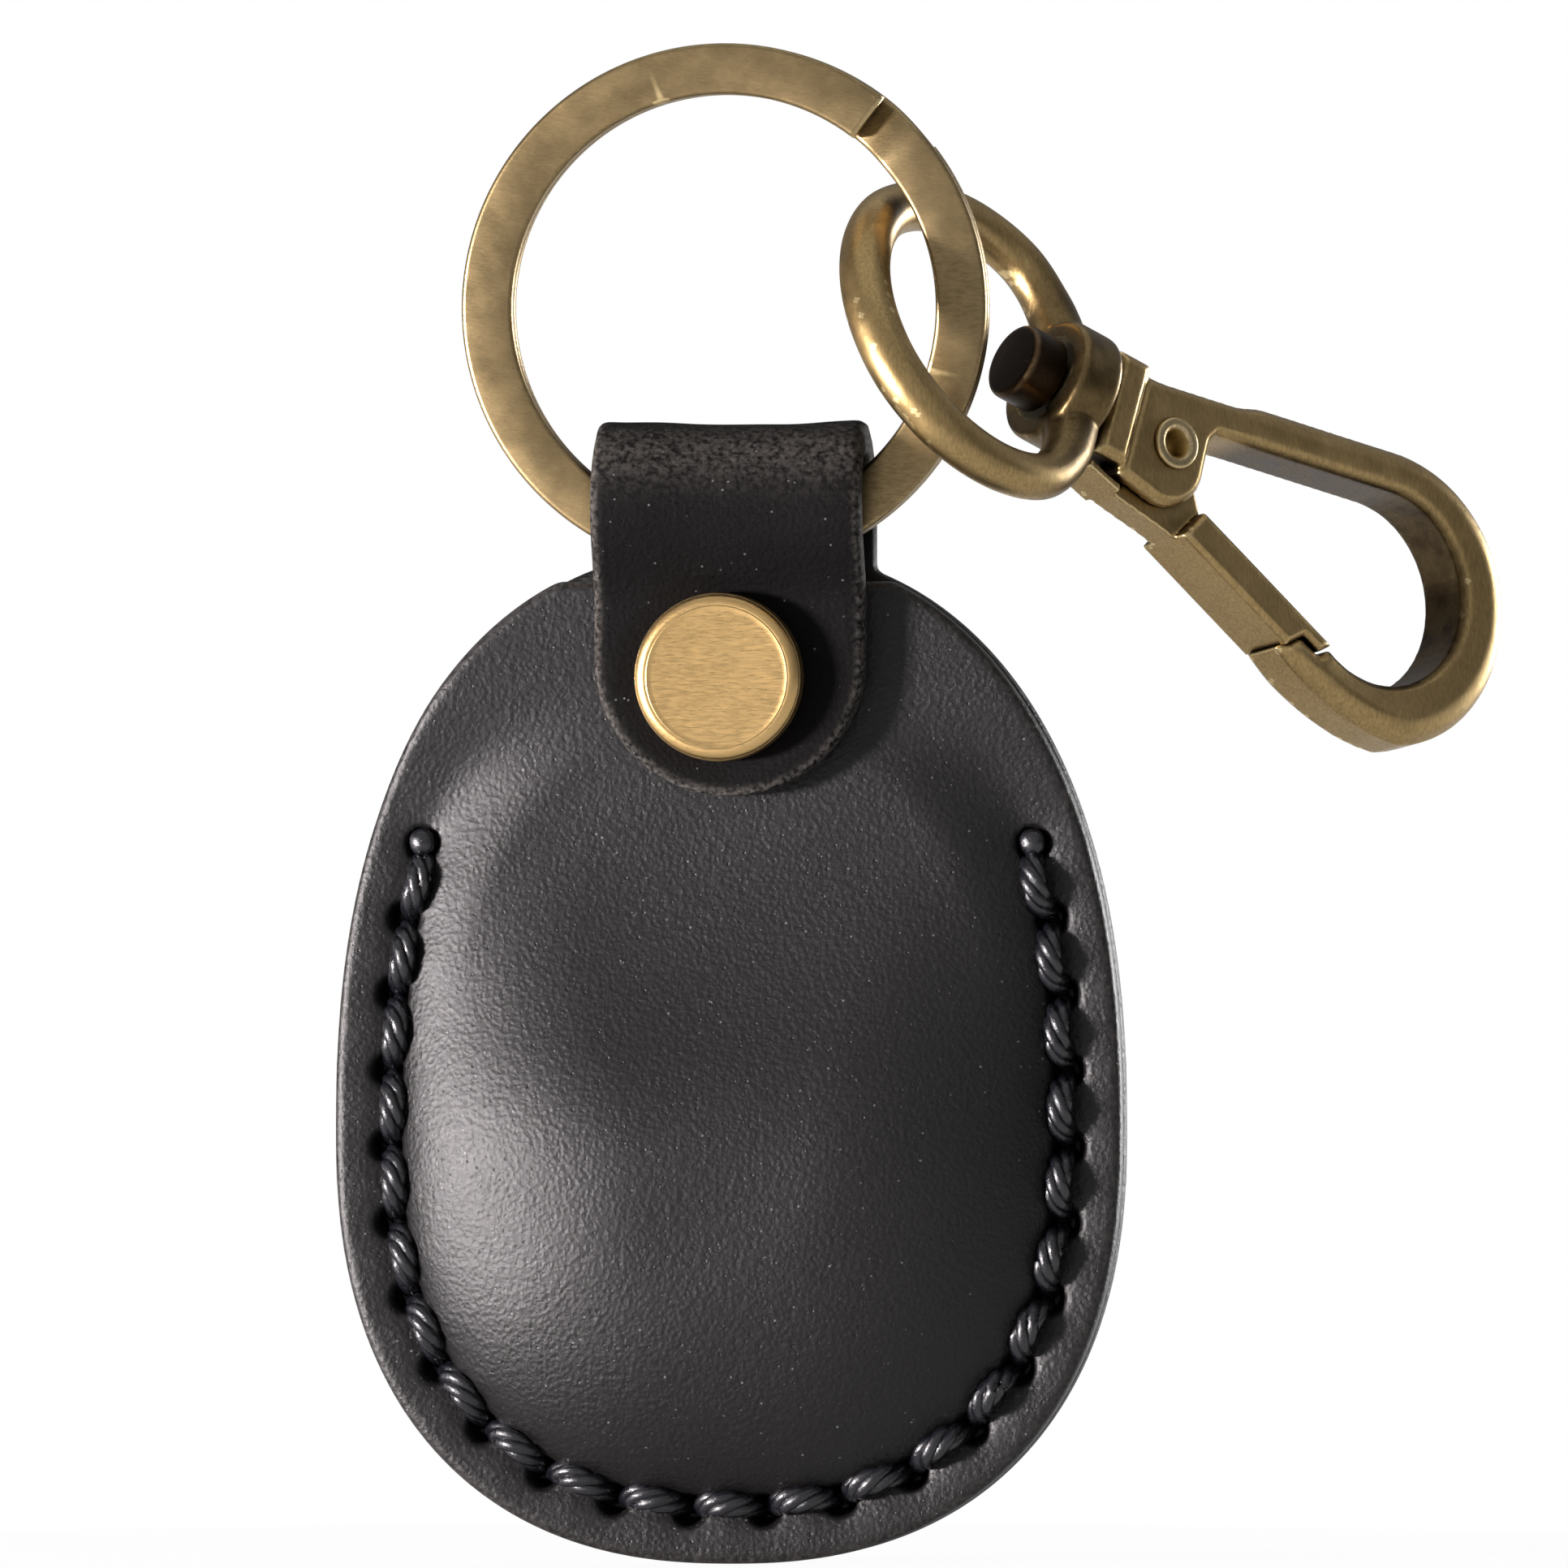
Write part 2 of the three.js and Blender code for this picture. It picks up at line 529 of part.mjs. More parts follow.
function hookGate() {
  const knuckleHalf = CHEEK_SLOT / 2 - 0.12;
  const bar = plate(
    new THREE.Shape([
      onGate(GATE_START, GATE_OUT), onGate(GATE_OUTER_END, GATE_OUT), onGate(GATE_END, LAP_LEVEL),
      onGate(FINGER_OUTER_END, LAP_LEVEL), onGate(LAP_END, GATE_IN), onGate(GATE_START + 0.4, GATE_IN),
    ]),
    HOOK_THICK / 2 - 0.1, -HOOK_THICK / 2 + 0.1, 0.3,
  );
  const knuckle = rodY(1.9, -knuckleHalf, knuckleHalf, 0, 0);
  const slotEnd = CHEEK_SLOT_FROM + FIT;
  const heelTip = new THREE.Vector2(...HEEL.tip);
  const heelUnder = new THREE.Vector2(HEEL.tip[0], HEEL.tip[1] - HEEL.thick);
  const heelInner = new THREE.Vector2(...HEEL.inner);
  const heelBend = new THREE.Vector2(slotEnd, HEEL.bend);
  const neck = plate(
    new THREE.Shape([
      new THREE.Vector2(-1.8, 0.3), new THREE.Vector2(slotEnd, -1), new THREE.Vector2(slotEnd, HEEL.inner[1]),
      heelInner, heelTip, heelUnder, heelBend,
      onGate(GATE_START - 1, GATE_OUT + 0.2), onGate(GATE_START + 1, GATE_OUT - 0.1),
      onGate(GATE_START + 1, GATE_IN + 0.1), onGate(0.6, -1.75),
    ]),
    knuckleHalf, -knuckleHalf,
  );
  const heel = plate(
    new THREE.Shape([
      heelTip, heelUnder, new THREE.Vector2(slotEnd - 0.4, HEEL.bend + 0.12),
      new THREE.Vector2(slotEnd - 0.4, HEEL.inner[1] - 0.15), heelInner,
    ]),
    HEEL.half, -HEEL.half,
  );
  const springRoom = plate(
    new THREE.Shape([
      onGate(-3, -3), onGate(-3, 3.0), onGate(GATE_START - 0.4, 3.6), onGate(GATE_START - 0.4, -3),
    ]),
    0.75, -0.75,
  );
  const bore = rodY(PIVOT_R + 0.08, -3, 3, 0, 0);
  return cutAll(union([bar, knuckle, neck, heel]), [springRoom, bore]);
}

// Hollow rivet on which the gate turns, flared over both cheeks.
function gatePivot() {
  const half = HOOK_THICK / 2 + 0.03;
  const flareR = 1.55;
  const flare = 0.3;
  const boreR = 0.85;
  const body = turnedY(
    [
      [0, -half - flare], [flareR - 0.2, -half - flare], [flareR, -half], [PIVOT_R, -half],
      [PIVOT_R, half], [flareR, half], [flareR - 0.2, half + flare], [0, half + flare],
    ],
    0, 0,
  );
  return body.subtract(rodY(boreR, -half - 1, half + 1, 0, 0));
}

// Torsion spring round the pivot: one leg pushes the gate out, the other bears on the slot's end.
function gateSpring() {
  const wire = 0.19;
  const coilR = PIVOT_R + 0.38;
  const turns = 2.4;
  const rise = 0.4;
  const points = [];
  const steps = Math.round(turns * 14);
  const first = gateTurn + Math.PI / 2 + deg(10);
  for (let i = 0; i <= steps; i++) {
    const turn = first + (i / steps) * turns * 2 * Math.PI;
    const y = (i / steps - 0.5) * turns * rise;
    points.push(new THREE.Vector3(coilR * Math.cos(turn), y, coilR * Math.sin(turn)));
  }
  const gateLeg = onGate(2.2, -1.25);
  points.unshift(new THREE.Vector3(gateLeg.x, points[0].y, gateLeg.y));
  const end = points[points.length - 1];
  const away = Math.atan2(end.z, end.x) + Math.PI / 2;
  points.push(new THREE.Vector3(end.x + 0.9 * Math.cos(away), end.y, end.z + 0.9 * Math.sin(away)));
  return tube(points, wire, 44, 5);
}

// Headed pin fixed in the hook's collar. The bail turns on it.
function swivelPin() {
  return turnedX([
    [0, PIN.headFrom], [PIN.headR - 0.5, PIN.headFrom], [PIN.headR, PIN.headFrom + 0.5],
    [PIN.headR, PIN.headTo], [PIN.r, PIN.headTo], [PIN.r, PIN.tip], [0, PIN.tip],
  ]);
}

// Bail: round wire bowed out from both sides of a bored boss.
function bail() {
  const half = BAIL_SIDE.map(([x, z]) => new THREE.Vector3(x, 0, z));
  const other = BAIL_SIDE.map(([x, z]) => new THREE.Vector3(x, 0, -z)).reverse();
  const wire = tube([...half, new THREE.Vector3(BAIL_END, 0, 0), ...other], WIRE_R, 32, 10);
  const boss = turnedX([
    [0, BOSS.from], [BOSS.r - 0.4, BOSS.from], [BOSS.r, BOSS.from + 0.4],
    [BOSS.r, BOSS.to - 0.4], [BOSS.r - 0.4, BOSS.to], [0, BOSS.to],
  ]);
  const headRoom = turnedX([[0, -14], [PIN.headR + 0.3, -14], [PIN.headR + 0.3, BOSS.from], [0, BOSS.from]]);
  const collarRoom = turnedX([[0, BOSS.to], [8, BOSS.to], [8, 0], [0, 0]]);
  const bore = turnedX([[0, -14], [BOSS.bore, -14], [BOSS.bore, 0], [0, 0]]);
  return cutAll(boss.add(wire), [headRoom, collarRoom, bore]);
}

// ---------------------------------------------------------------- assembly

const pocket = new THREE.Group();
pocket.add(mesh("back_panel", backPanel(), leather));
pocket.add(mesh("front_panel", frontPanel(), leather));
pocket.add(mesh("stitch_thread", stitchThread(), thread));
pocket.add(mesh("strap_flap", strapFlap(), leather));
pocket.add(mesh("rivet_cap", rivetCap(), polishedBrass));
pocket.add(mesh("rivet_screw", rivetScrew(), polishedBrass));
pocket.add(mesh("key_ring", keyRing(), antiqueBrass));

const hook = new THREE.Group();
hook.position.set(...HOOK_PIVOT);
hook.rotation.set(deg(HOOK_ROLL), deg(HOOK_PITCH), deg(HOOK_YAW), "ZYX");
hook.add(mesh("hook_body", hookBody(), antiqueBrass));
hook.add(mesh("hook_gate", hookGate(), antiqueBrass));
hook.add(mesh("gate_pivot", gatePivot(), polishedBrass));
hook.add(mesh("gate_spring", gateSpring(), springSteel));
const pinMesh = mesh("swivel_pin", swivelPin(), darkBrass);
pinMesh.position.z = AXLE_Z;
hook.add(pinMesh);
const bailMesh = mesh("swivel_bail", bail(), antiqueBrass);
bailMesh.rotation.x = deg(BAIL_ROLL);
bailMesh.position.z = AXLE_Z;
hook.add(bailMesh);

const part = new THREE.Group();
part.add(pocket, hook);

export default part;
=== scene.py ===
"""Looks of the leather pick holder: pocket, folded strap, stitching, screw rivet, key ring and snap hook.

Shapes are worked out in millimetres in the part's own frame (+Z up to the key ring, front towards -Y)
and written to Blender in metres.
"""

import json
import math

import bmesh
import bpy
import numpy as np
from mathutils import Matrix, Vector


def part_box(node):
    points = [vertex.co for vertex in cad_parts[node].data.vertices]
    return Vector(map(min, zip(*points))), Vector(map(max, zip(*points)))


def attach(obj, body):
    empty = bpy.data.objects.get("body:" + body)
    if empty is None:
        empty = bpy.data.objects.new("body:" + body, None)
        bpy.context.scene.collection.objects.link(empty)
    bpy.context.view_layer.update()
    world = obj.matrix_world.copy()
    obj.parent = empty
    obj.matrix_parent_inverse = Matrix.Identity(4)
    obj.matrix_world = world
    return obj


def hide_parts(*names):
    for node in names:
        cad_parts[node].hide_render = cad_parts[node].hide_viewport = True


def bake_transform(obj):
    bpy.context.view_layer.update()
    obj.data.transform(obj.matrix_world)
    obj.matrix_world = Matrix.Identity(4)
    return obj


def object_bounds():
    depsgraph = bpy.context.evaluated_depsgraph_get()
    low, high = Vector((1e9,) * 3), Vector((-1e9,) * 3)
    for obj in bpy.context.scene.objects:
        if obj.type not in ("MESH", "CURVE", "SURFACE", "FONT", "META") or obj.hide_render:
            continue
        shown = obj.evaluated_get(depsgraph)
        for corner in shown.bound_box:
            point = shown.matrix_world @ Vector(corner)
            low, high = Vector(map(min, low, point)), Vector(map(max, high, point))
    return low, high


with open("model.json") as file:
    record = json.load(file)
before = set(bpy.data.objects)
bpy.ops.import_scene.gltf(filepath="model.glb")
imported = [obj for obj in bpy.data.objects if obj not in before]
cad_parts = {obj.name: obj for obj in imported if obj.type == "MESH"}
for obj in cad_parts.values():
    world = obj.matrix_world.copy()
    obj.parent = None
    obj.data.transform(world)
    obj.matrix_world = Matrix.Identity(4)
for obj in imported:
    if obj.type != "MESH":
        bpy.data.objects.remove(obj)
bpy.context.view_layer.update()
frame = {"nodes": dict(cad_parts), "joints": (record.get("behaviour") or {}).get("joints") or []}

MM = 0.001
JOINTS = {joint["name"]: joint for joint in frame["joints"]}


def box_mm(node):
    low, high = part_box(node)
    return np.array(low) / MM, np.array(high) / MM


# ---------------------------------------------------------------- driving sizes, millimetres

PANEL_LOW, PANEL_HIGH = box_mm("front_panel")
HALF_WIDTH = PANEL_HIGH[0]
BOTTOM_HEIGHT = -PANEL_LOW[2]
FRONT_TOP = PANEL_HIGH[2]
TOP_HEIGHT = 35.4  # apex of the egg-shaped outline
ROUNDNESS = 2.35  # its exponent, 2 is an ellipse
LEATHER = 2.0
GLUE = 0.1
EDGE_R = 0.5  # rounding of the burnished edges

DOME_RISE = 5.2
DOME_START = 0.8  # from the stitch line
DOME_RUN = 15.0
DOME_FULLNESS = 0.7  # exponent of the moulding's profile, smaller is steeper beside the stitches
MOUTH_GAP = 1.2

STITCH_INSET = 3.2
STITCH_COUNT = 24
STITCH_TOP = 17.5
HOLE_R = 1.05
HOLE_DEPTH = 1.7

STRAP_LOW, STRAP_HIGH = box_mm("strap_flap")
STRAP_X = (STRAP_LOW[0] + STRAP_HIGH[0]) / 2
STRAP_HALF = (STRAP_HIGH[0] - STRAP_LOW[0]) / 2
STRAP_END = STRAP_LOW[2]
FOLD_TOP = STRAP_HIGH[2]
FOLD_INNER_R = 2.8
FOLD_Y = -LEATHER - FOLD_INNER_R
FOLD_Z = FOLD_TOP - FOLD_INNER_R - LEATHER
FLAP_INNER_Y = -2 * LEATHER - GLUE - MOUTH_GAP - 0.1
FOLD_FLARE = 0.28  # how far the fold's corners stand up, where the ring pulls it out of shape
FOLD_NARROWING = 0.012  # share of the width lost there

CAP_LOW, CAP_HIGH = box_mm("rivet_cap")
RIVET_X = (CAP_LOW[0] + CAP_HIGH[0]) / 2
RIVET_Z = (CAP_LOW[2] + CAP_HIGH[2]) / 2
SCREW_LOW, SCREW_HIGH = box_mm("rivet_screw")

RING_CENTRE = np.array(JOINTS["ring_turn"]["pos_m"]) / MM
RING_OUTER_R = 16.0
RING_INNER_R = 12.9
RING_LOW, RING_HIGH = box_mm("key_ring")
COIL_GAP = 0.12
WIRE_EDGE_R = 0.3
JOGGLE_AT = 46  # where the coils cross over, degrees up from +X
JOGGLE_WIDE = 13

# The snap hook's own frame: x from the bail to the hook's end, y across it, z towards the back bar.
# Its origin is the gate's pivot.
HOOK_X = np.array(JOINTS["hook_swivel"]["axis"])
HOOK_Y = -np.array(JOINTS["gate_open"]["axis"])
HOOK_AXES = np.array([HOOK_X, HOOK_Y, np.cross(HOOK_X, HOOK_Y)])
HOOK_PIVOT = np.array(JOINTS["gate_open"]["pos_m"]) / MM
AXLE = np.array([0, 0, (np.array(JOINTS["hook_swivel"]["pos_m"]) / MM - HOOK_PIVOT) @ HOOK_AXES[2]])
BAIL_ROLL = math.radians(-27)  # the bail's turn about the swivel pin
SPINE_RISE = math.radians(10)  # the back bar against the x axis
SPINE_ROOT = (-1.6, 3.4)
SPINE_INNER_ROOT = (3.1, 2.05)
BOW_CENTRE = (18.1, -1.9)
BOW_R = 8.65
BOW_END = math.radians(-65)  # where the round bow bends into the nose
NOSE_BEND = (17.6, -10.5)
NOSE = (11.84, -8.2)
EYE_CENTRE = (17.65, -1.55)
EYE_R = 6.1
EYE_END = math.radians(-116)
OUTER_SWELL = 0.55  # the casting stands this far outside the CAD outline, where its ridge is worn round
RIDGE_AT = 0.6  # place of the soft ridge, as a share of the way from the inner outline to the outer one
HOOK_HALF_THICK = 2.4


# ---------------------------------------------------------------- mesh helpers

def ease(value, low, high):
    share = np.clip((value - low) / (high - low), 0, 1)
    return share * share * (3 - 2 * share)


def new_object(name, points, faces, smooth=True):
    """A mesh object from points in millimetres."""
    mesh = bpy.data.meshes.new(name)
    metres = np.asarray(points, float) * MM
    mesh.from_pydata(metres.tolist(), [], [list(map(int, face)) for face in faces])
    mesh.update()
    made = bpy.data.objects.new(name, mesh)
    bpy.context.scene.collection.objects.link(made)
    if smooth:
        mesh.shade_smooth()
    return made


def get_points(piece):
    flat = np.zeros(len(piece.data.vertices) * 3)
    piece.data.vertices.foreach_get("co", flat)
    return flat.reshape(-1, 3) / MM


def set_points(piece, points):
    piece.data.vertices.foreach_set("co", (points * MM).ravel())
    piece.data.update()


def grid_faces(rows, columns, close_rows=False, close_columns=False, first=0):
    """Quads of a rows by columns grid of points stored row by row."""
    r = np.arange(rows if close_rows else rows - 1)
    c = np.arange(columns if close_columns else columns - 1)
    r, c = np.meshgrid(r, c, indexing="ij")
    r2, c2 = (r + 1) % rows, (c + 1) % columns
    corners = [r * columns + c, r * columns + c2, r2 * columns + c2, r2 * columns + c]
    return (np.stack(corners, -1).reshape(-1, 4) + first).tolist()


def stacked(parts):
    """Joins (points, faces) pairs into one pair."""
    points, faces, count = [], [], 0
    for part_points, part_faces in parts:
        points.append(np.asarray(part_points, float))
        faces += [[index + count for index in face] for face in part_faces]
        count += len(part_points)
    return np.concatenate(points), faces


def directions(line):
    """Unit vectors along a line at each of its points."""
    along = np.gradient(line, axis=0)
    return along / np.linalg.norm(along, axis=1)[:, None]


def distances(line):
    """How far along a line each of its points is."""
    return np.concatenate([[0], np.cumsum(np.linalg.norm(np.diff(line, axis=0), axis=1))])


def tube(rows):
    """A closed tube from an array of sections, each an array of points round it."""
    count, around = rows.shape[:2]
    faces = grid_faces(count, around, close_columns=True)
    faces.append(list(range(around))[::-1])
    faces.append([(count - 1) * around + i for i in range(around)])
    return rows.reshape(-1, 3), faces


def swept(path, radius, sides, up):
    """A round tube along a path. radius is one number or one for each point."""
    path = np.asarray(path, float)
    along = directions(path)
    side = np.cross(along, up)
    side /= np.linalg.norm(side, axis=1)[:, None]
    over = np.cross(side, along)
    turn = np.linspace(0, 2 * math.pi, sides, endpoint=False)
    size = np.broadcast_to(radius, len(path))[:, None, None]
    ring = np.cos(turn)[None, :, None] * side[:, None] + np.sin(turn)[None, :, None] * over[:, None]
    return tube(path[:, None] + size * ring)


def lathe(profile, segments=96):
    """A turned solid about +Y through the origin. profile holds [radius, y] from axis to axis."""
    profile = np.asarray(profile, float)
    inner = profile[1:-1]
    turn = np.linspace(0, 2 * math.pi, segments, endpoint=False)
    rings = [np.stack([r * np.cos(turn), np.full(segments, y), r * np.sin(turn)], -1) for r, y in inner]
    points = np.concatenate(rings + [[[0, profile[0][1], 0], [0, profile[-1][1], 0]]])
    faces = grid_faces(len(inner), segments, close_columns=True)
    start, end = len(points) - 2, len(points) - 1
    last = (len(inner) - 1) * segments
    for i in range(segments):
        j = (i + 1) % segments
        faces.append([start, j, i])
        faces.append([end, last + i, last + j])
    return points, faces


def rounded_profile(corners, steps=6):
    """A lathe profile from [radius, y, rounding] corners, with each corner rounded."""
    corners = np.asarray(corners, float)
    made = [corners[0][:2]]
    for before, here, after in zip(corners, corners[1:], corners[2:]):
        a, b, r = before[:2] - here[:2], after[:2] - here[:2], here[2]
        if r == 0:
            made.append(here[:2])
            continue
        a, b = a / np.linalg.norm(a), b / np.linalg.norm(b)
        for t in np.linspace(0, 1, steps):
            curve = (1 - t) ** 2 * a + t ** 2 * b
            made.append(here[:2] + r * curve)
    made.append(corners[-1][:2])
    return np.array(made)


def smooth_line(points, count):
    """count points evenly spaced along a Catmull-Rom curve through points."""
    points = np.asarray(points, float)
    padded = np.concatenate([[2 * points[0] - points[1]], points, [2 * points[-1] - points[-2]]])
    dense = []
    for a, b, c, d in zip(padded, padded[1:], padded[2:], padded[3:]):
        t = np.linspace(0, 1, 24, endpoint=False)[:, None]
        dense.append(0.5 * (2 * b + (c - a) * t + (2 * a - 5 * b + 4 * c - d) * t ** 2
                            + (3 * b - a - 3 * c + d) * t ** 3))
    dense = np.concatenate(dense + [padded[-2:-1]])
    return even(dense, count)


def even(line, count):
    """count points evenly spaced along a polyline."""
    line = np.asarray(line, float)
    length = distances(line)
    wanted = np.linspace(0, length[-1], count)
    return np.stack([np.interp(wanted, length, column) for column in line.T], -1)


def apply_modifiers(piece):
    graph = bpy.context.evaluated_depsgraph_get()
    made = bpy.data.meshes.new_from_object(piece.evaluated_get(graph))
    piece.modifiers.clear()
    old, piece.data = piece.data, made
    bpy.data.meshes.remove(old)


def remeshed(piece, voxel, passes):
    """Fuses a piece's shells into one even, slightly rounded skin."""
    remesh = piece.modifiers.new("fuse", "REMESH")
    remesh.mode = "VOXEL"
    remesh.voxel_size = voxel * MM
    remesh.use_smooth_shade = True
    soften = piece.modifiers.new("soften", "SMOOTH")
    soften.factor = 0.5
    soften.iterations = passes
    apply_modifiers(piece)
    return piece


def cut(piece, cutter):
    """Takes the cutter's shape out of a piece and deletes the cutter."""
    boolean = piece.modifiers.new("cut", "BOOLEAN")
    boolean.operation = "DIFFERENCE"
    boolean.solver = "EXACT"
    boolean.object = cutter
    apply_modifiers(piece)
    bpy.data.objects.remove(cutter)


def flip_shells_out(piece):
    """Makes every shell of a mesh face outwards."""
    work = bmesh.new()
    work.from_mesh(piece.data)
    bmesh.ops.recalc_face_normals(work, faces=work.faces)
    work.to_mesh(piece.data)
    work.free()


def store(piece, name, amount):
    """Stores one number for each point, for the material to read."""
    attribute = piece.data.attributes.new(name, "FLOAT", "POINT")
    attribute.data.foreach_set("value", np.asarray(amount, np.float32))


def flip_if_inside_out(piece):
    """Turns the faces over if they enclose a negative volume."""
    mesh = piece.data
    mesh.calc_loop_triangles()
    corners = np.zeros(len(mesh.loop_triangles) * 3, int)
    mesh.loop_triangles.foreach_get("vertices", corners)
    a, b, c = get_points(piece)[corners].reshape(-1, 3, 3).transpose(1, 0, 2)
    if np.einsum("ij,ij->i", a, np.cross(b, c)).sum() < 0:
        mesh.flip_normals()
    return piece


BLOCK = 20000  # points measured at once, to spare memory


def from_nearest(points, line):
    """Vectors to each point from the nearest of a line's points."""
    found = np.empty(points.shape)
    for start in range(0, len(points), BLOCK):
        block = points[start:start + BLOCK]
        closest = ((block[:, None] - line[None]) ** 2).sum(-1).argmin(1)
        found[start:start + BLOCK] = block - line[closest]
    return found


def nearest(points, line):
    """Distance from each point to the nearest of a line's points."""
    return np.linalg.norm(from_nearest(points, line), axis=1)


def away_from(points, line):
    """Unit vectors to each point from the nearest of a line's points."""
    found = from_nearest(points, line)
    return found / np.maximum(np.linalg.norm(found, axis=1), 1e-6)[:, None]


def ripple(points, size, seed):
    """Smooth pseudo-random waves between about -1 and 1, with features of about size millimetres."""
    rng = np.random.default_rng(seed)
    total = np.zeros(len(points))
    for _ in range(10):
        direction = rng.normal(size=3)
        direction *= 2 * math.pi / (size * rng.uniform(0.7, 1.6)) / np.linalg.norm(direction)
        total += np.sin(points @ direction + rng.uniform(0, 2 * math.pi))
    return total / 4


# ---------------------------------------------------------------- outline and stitch holes

def outline(t):
    """The egg-shaped outline of the pocket as (x, z), at the angles t."""
    c, s = np.cos(t), np.sin(t)
    power = 2 / ROUNDNESS
    height = np.where(s > 0, TOP_HEIGHT, BOTTOM_HEIGHT)
    x = HALF_WIDTH * np.sign(c) * np.abs(c) ** power
    z = height * np.sign(s) * np.abs(s) ** power
    return np.stack([x, z], -1)


def inset(line, distance):
    along = directions(line)
    return line + distance * np.stack([-along[:, 1], along[:, 0]], -1)


ALL_ROUND = even(outline(np.linspace(-1.5 * math.pi, 0.5 * math.pi, 4001)), 1201)
STITCH_LOOP = inset(ALL_ROUND, STITCH_INSET)
STITCH_LINE = STITCH_LOOP[STITCH_LOOP[:, 1] <= STITCH_TOP]
HOLES = even(STITCH_LINE, STITCH_COUNT)


def inside_share(x, z):
    """0 in the middle of the outline, 1 on it."""
    height = np.where(z > 0, TOP_HEIGHT, BOTTOM_HEIGHT)
    return (np.abs(x / HALF_WIDTH) ** ROUNDNESS + np.abs(z / height) ** ROUNDNESS) ** (1 / ROUNDNESS)


def beyond_stitch(flat):
    """Distance inwards from the stitch line, 0 outside it."""
    loop_turn = np.arctan2(STITCH_LOOP[:, 1], STITCH_LOOP[:, 0])
    order = np.argsort(loop_turn)
    reach = np.hypot(*STITCH_LOOP[order].T)
    here = np.arctan2(flat[:, 1], flat[:, 0])
    inside = np.hypot(*flat.T) < np.interp(here, loop_turn[order], reach, period=2 * math.pi)
    return np.where(inside, nearest(flat, STITCH_LOOP), 0)


def pocket_gap(x, z, beyond):
    """Free space between the panels: the dome, steep beside the stitches, and the flat mouth above."""
    fall = ease(z, -3, STRAP_END)  # the dome gets lower towards the mouth, less so near its sides
    left = 1 - np.clip((beyond - DOME_START) / (DOME_RUN * (1 - 0.4 * fall)), 0, 1)
    dome = DOME_RISE * (1 - fall) * (1 - left ** 2) ** DOME_FULLNESS
    depth = (1 - inside_share(x, z)) * HALF_WIDTH
    to_mouth = ease(z, 5, STRAP_END)
    edge_opening = ease(z, STITCH_TOP + 1, STITCH_TOP + 10)
    blend = ease(depth, 2.5, 7.5)
    return dome + MOUTH_GAP * ((1 - blend) * edge_opening + blend * to_mouth)


def stitch_marks(plane_points):
    """How far the skin is pulled in by the holes and by the thread lying on it."""
    to_hole = nearest(plane_points, HOLES)
    to_line = nearest(plane_points, STITCH_LINE)
    hole = HOLE_DEPTH * (1 - ease(to_hole, HOLE_R * 0.55, HOLE_R * 1.08))
    pucker = 0.16 * np.exp(-(to_hole / 1.9) ** 2)
    groove = 0.2 * np.exp(-(to_line / 0.9) ** 2)
    return hole + pucker + groove


BAND = 8.0  # a panel's rings are evenly spaced in from its edge as far as this


def egg_panel(loop, centre, skin):
    """A leather panel inside loop. skin(points, side) gives y, side being 0 at the back and 1 in front."""
    loop = loop[:-1]
    around = len(loop)
    reach = np.linalg.norm(loop - centre, axis=1)
    turns = np.linspace(0, math.pi / 2, 5)

    def ring(edge_distance):
        return centre + (loop - centre) * (1 - edge_distance / reach)[:, None]

    rows = [(centre + (ring(BAND) - centre) * share, 0) for share in np.linspace(0.1, 1, 18)[:-1]]
    rows += [(ring(distance), 0) for distance in np.linspace(BAND, EDGE_R, 16)[:-1]]
    rows += [(ring(EDGE_R * (1 - math.sin(t))), EDGE_R * (1 - math.cos(t))) for t in turns]
    points = []
    for side in (1, 0):
        sequence = rows if side else rows[::-1]
        for flat, rounding in sequence:
            y = skin(flat, side) + (rounding if side else -rounding)
            points.append(np.stack([flat[:, 0], y, flat[:, 1]], -1))
    count = len(points)
    poles = [[centre[0], skin(centre[None], side)[0], centre[1]] for side in (1, 0)]
    points = np.concatenate(points + [poles])
    faces = grid_faces(count, around, close_columns=True)
    front, back = len(points) - 2, len(points) - 1
    last = (count - 1) * around
    for i in range(around):
        j = (i + 1) % around
        faces.append([front, j, i])
        faces.append([back, last + i, last + j])
    return points, faces


# ---------------------------------------------------------------- leather

def front_leather():
    """The front panel: an even skin moulded over the picks, with the mouth left flat."""
    clipped = ALL_ROUND.copy()
    clipped[:, 1] = np.minimum(clipped[:, 1], FRONT_TOP)
    loop = even(clipped, 300)

    def skin(flat, side):
        inner = -LEATHER - GLUE - pocket_gap(flat[:, 0], flat[:, 1], beyond_stitch(flat))
        return inner - LEATHER * side

    piece = flip_if_inside_out(new_object("pocket_front", *egg_panel(loop, np.array([0.0, 3.0]), skin)))
    remeshed(piece, 0.23, 2)
    points = get_points(piece)
    flat = points[:, [0, 2]]
    inner, outer = skin(flat, 0), skin(flat, 1)
    through = (points[:, 1] - inner) / (outer - inner)
    from_edge = nearest(flat, loop)
    level = from_edge > EDGE_R + 0.15
    points[level, 1] = np.where(through > 0.5, outer, inner)[level]
    on_face = ease(through, 0.6, 0.9)
    beyond = beyond_stitch(flat)
    wave = 0.05 * ripple(np.insert(flat, 1, 0, axis=1), 9, 3) * ease(beyond, 2, 8)
    points[:, 1] += on_face * (stitch_marks(flat) * ease(from_edge, 0.2, 0.9) + wave)
    set_points(piece, points)
    store(piece, "wear", (1 - ease(from_edge, 0.1, 0.75)) * ease(through, 0.2, 0.9))
    return piece


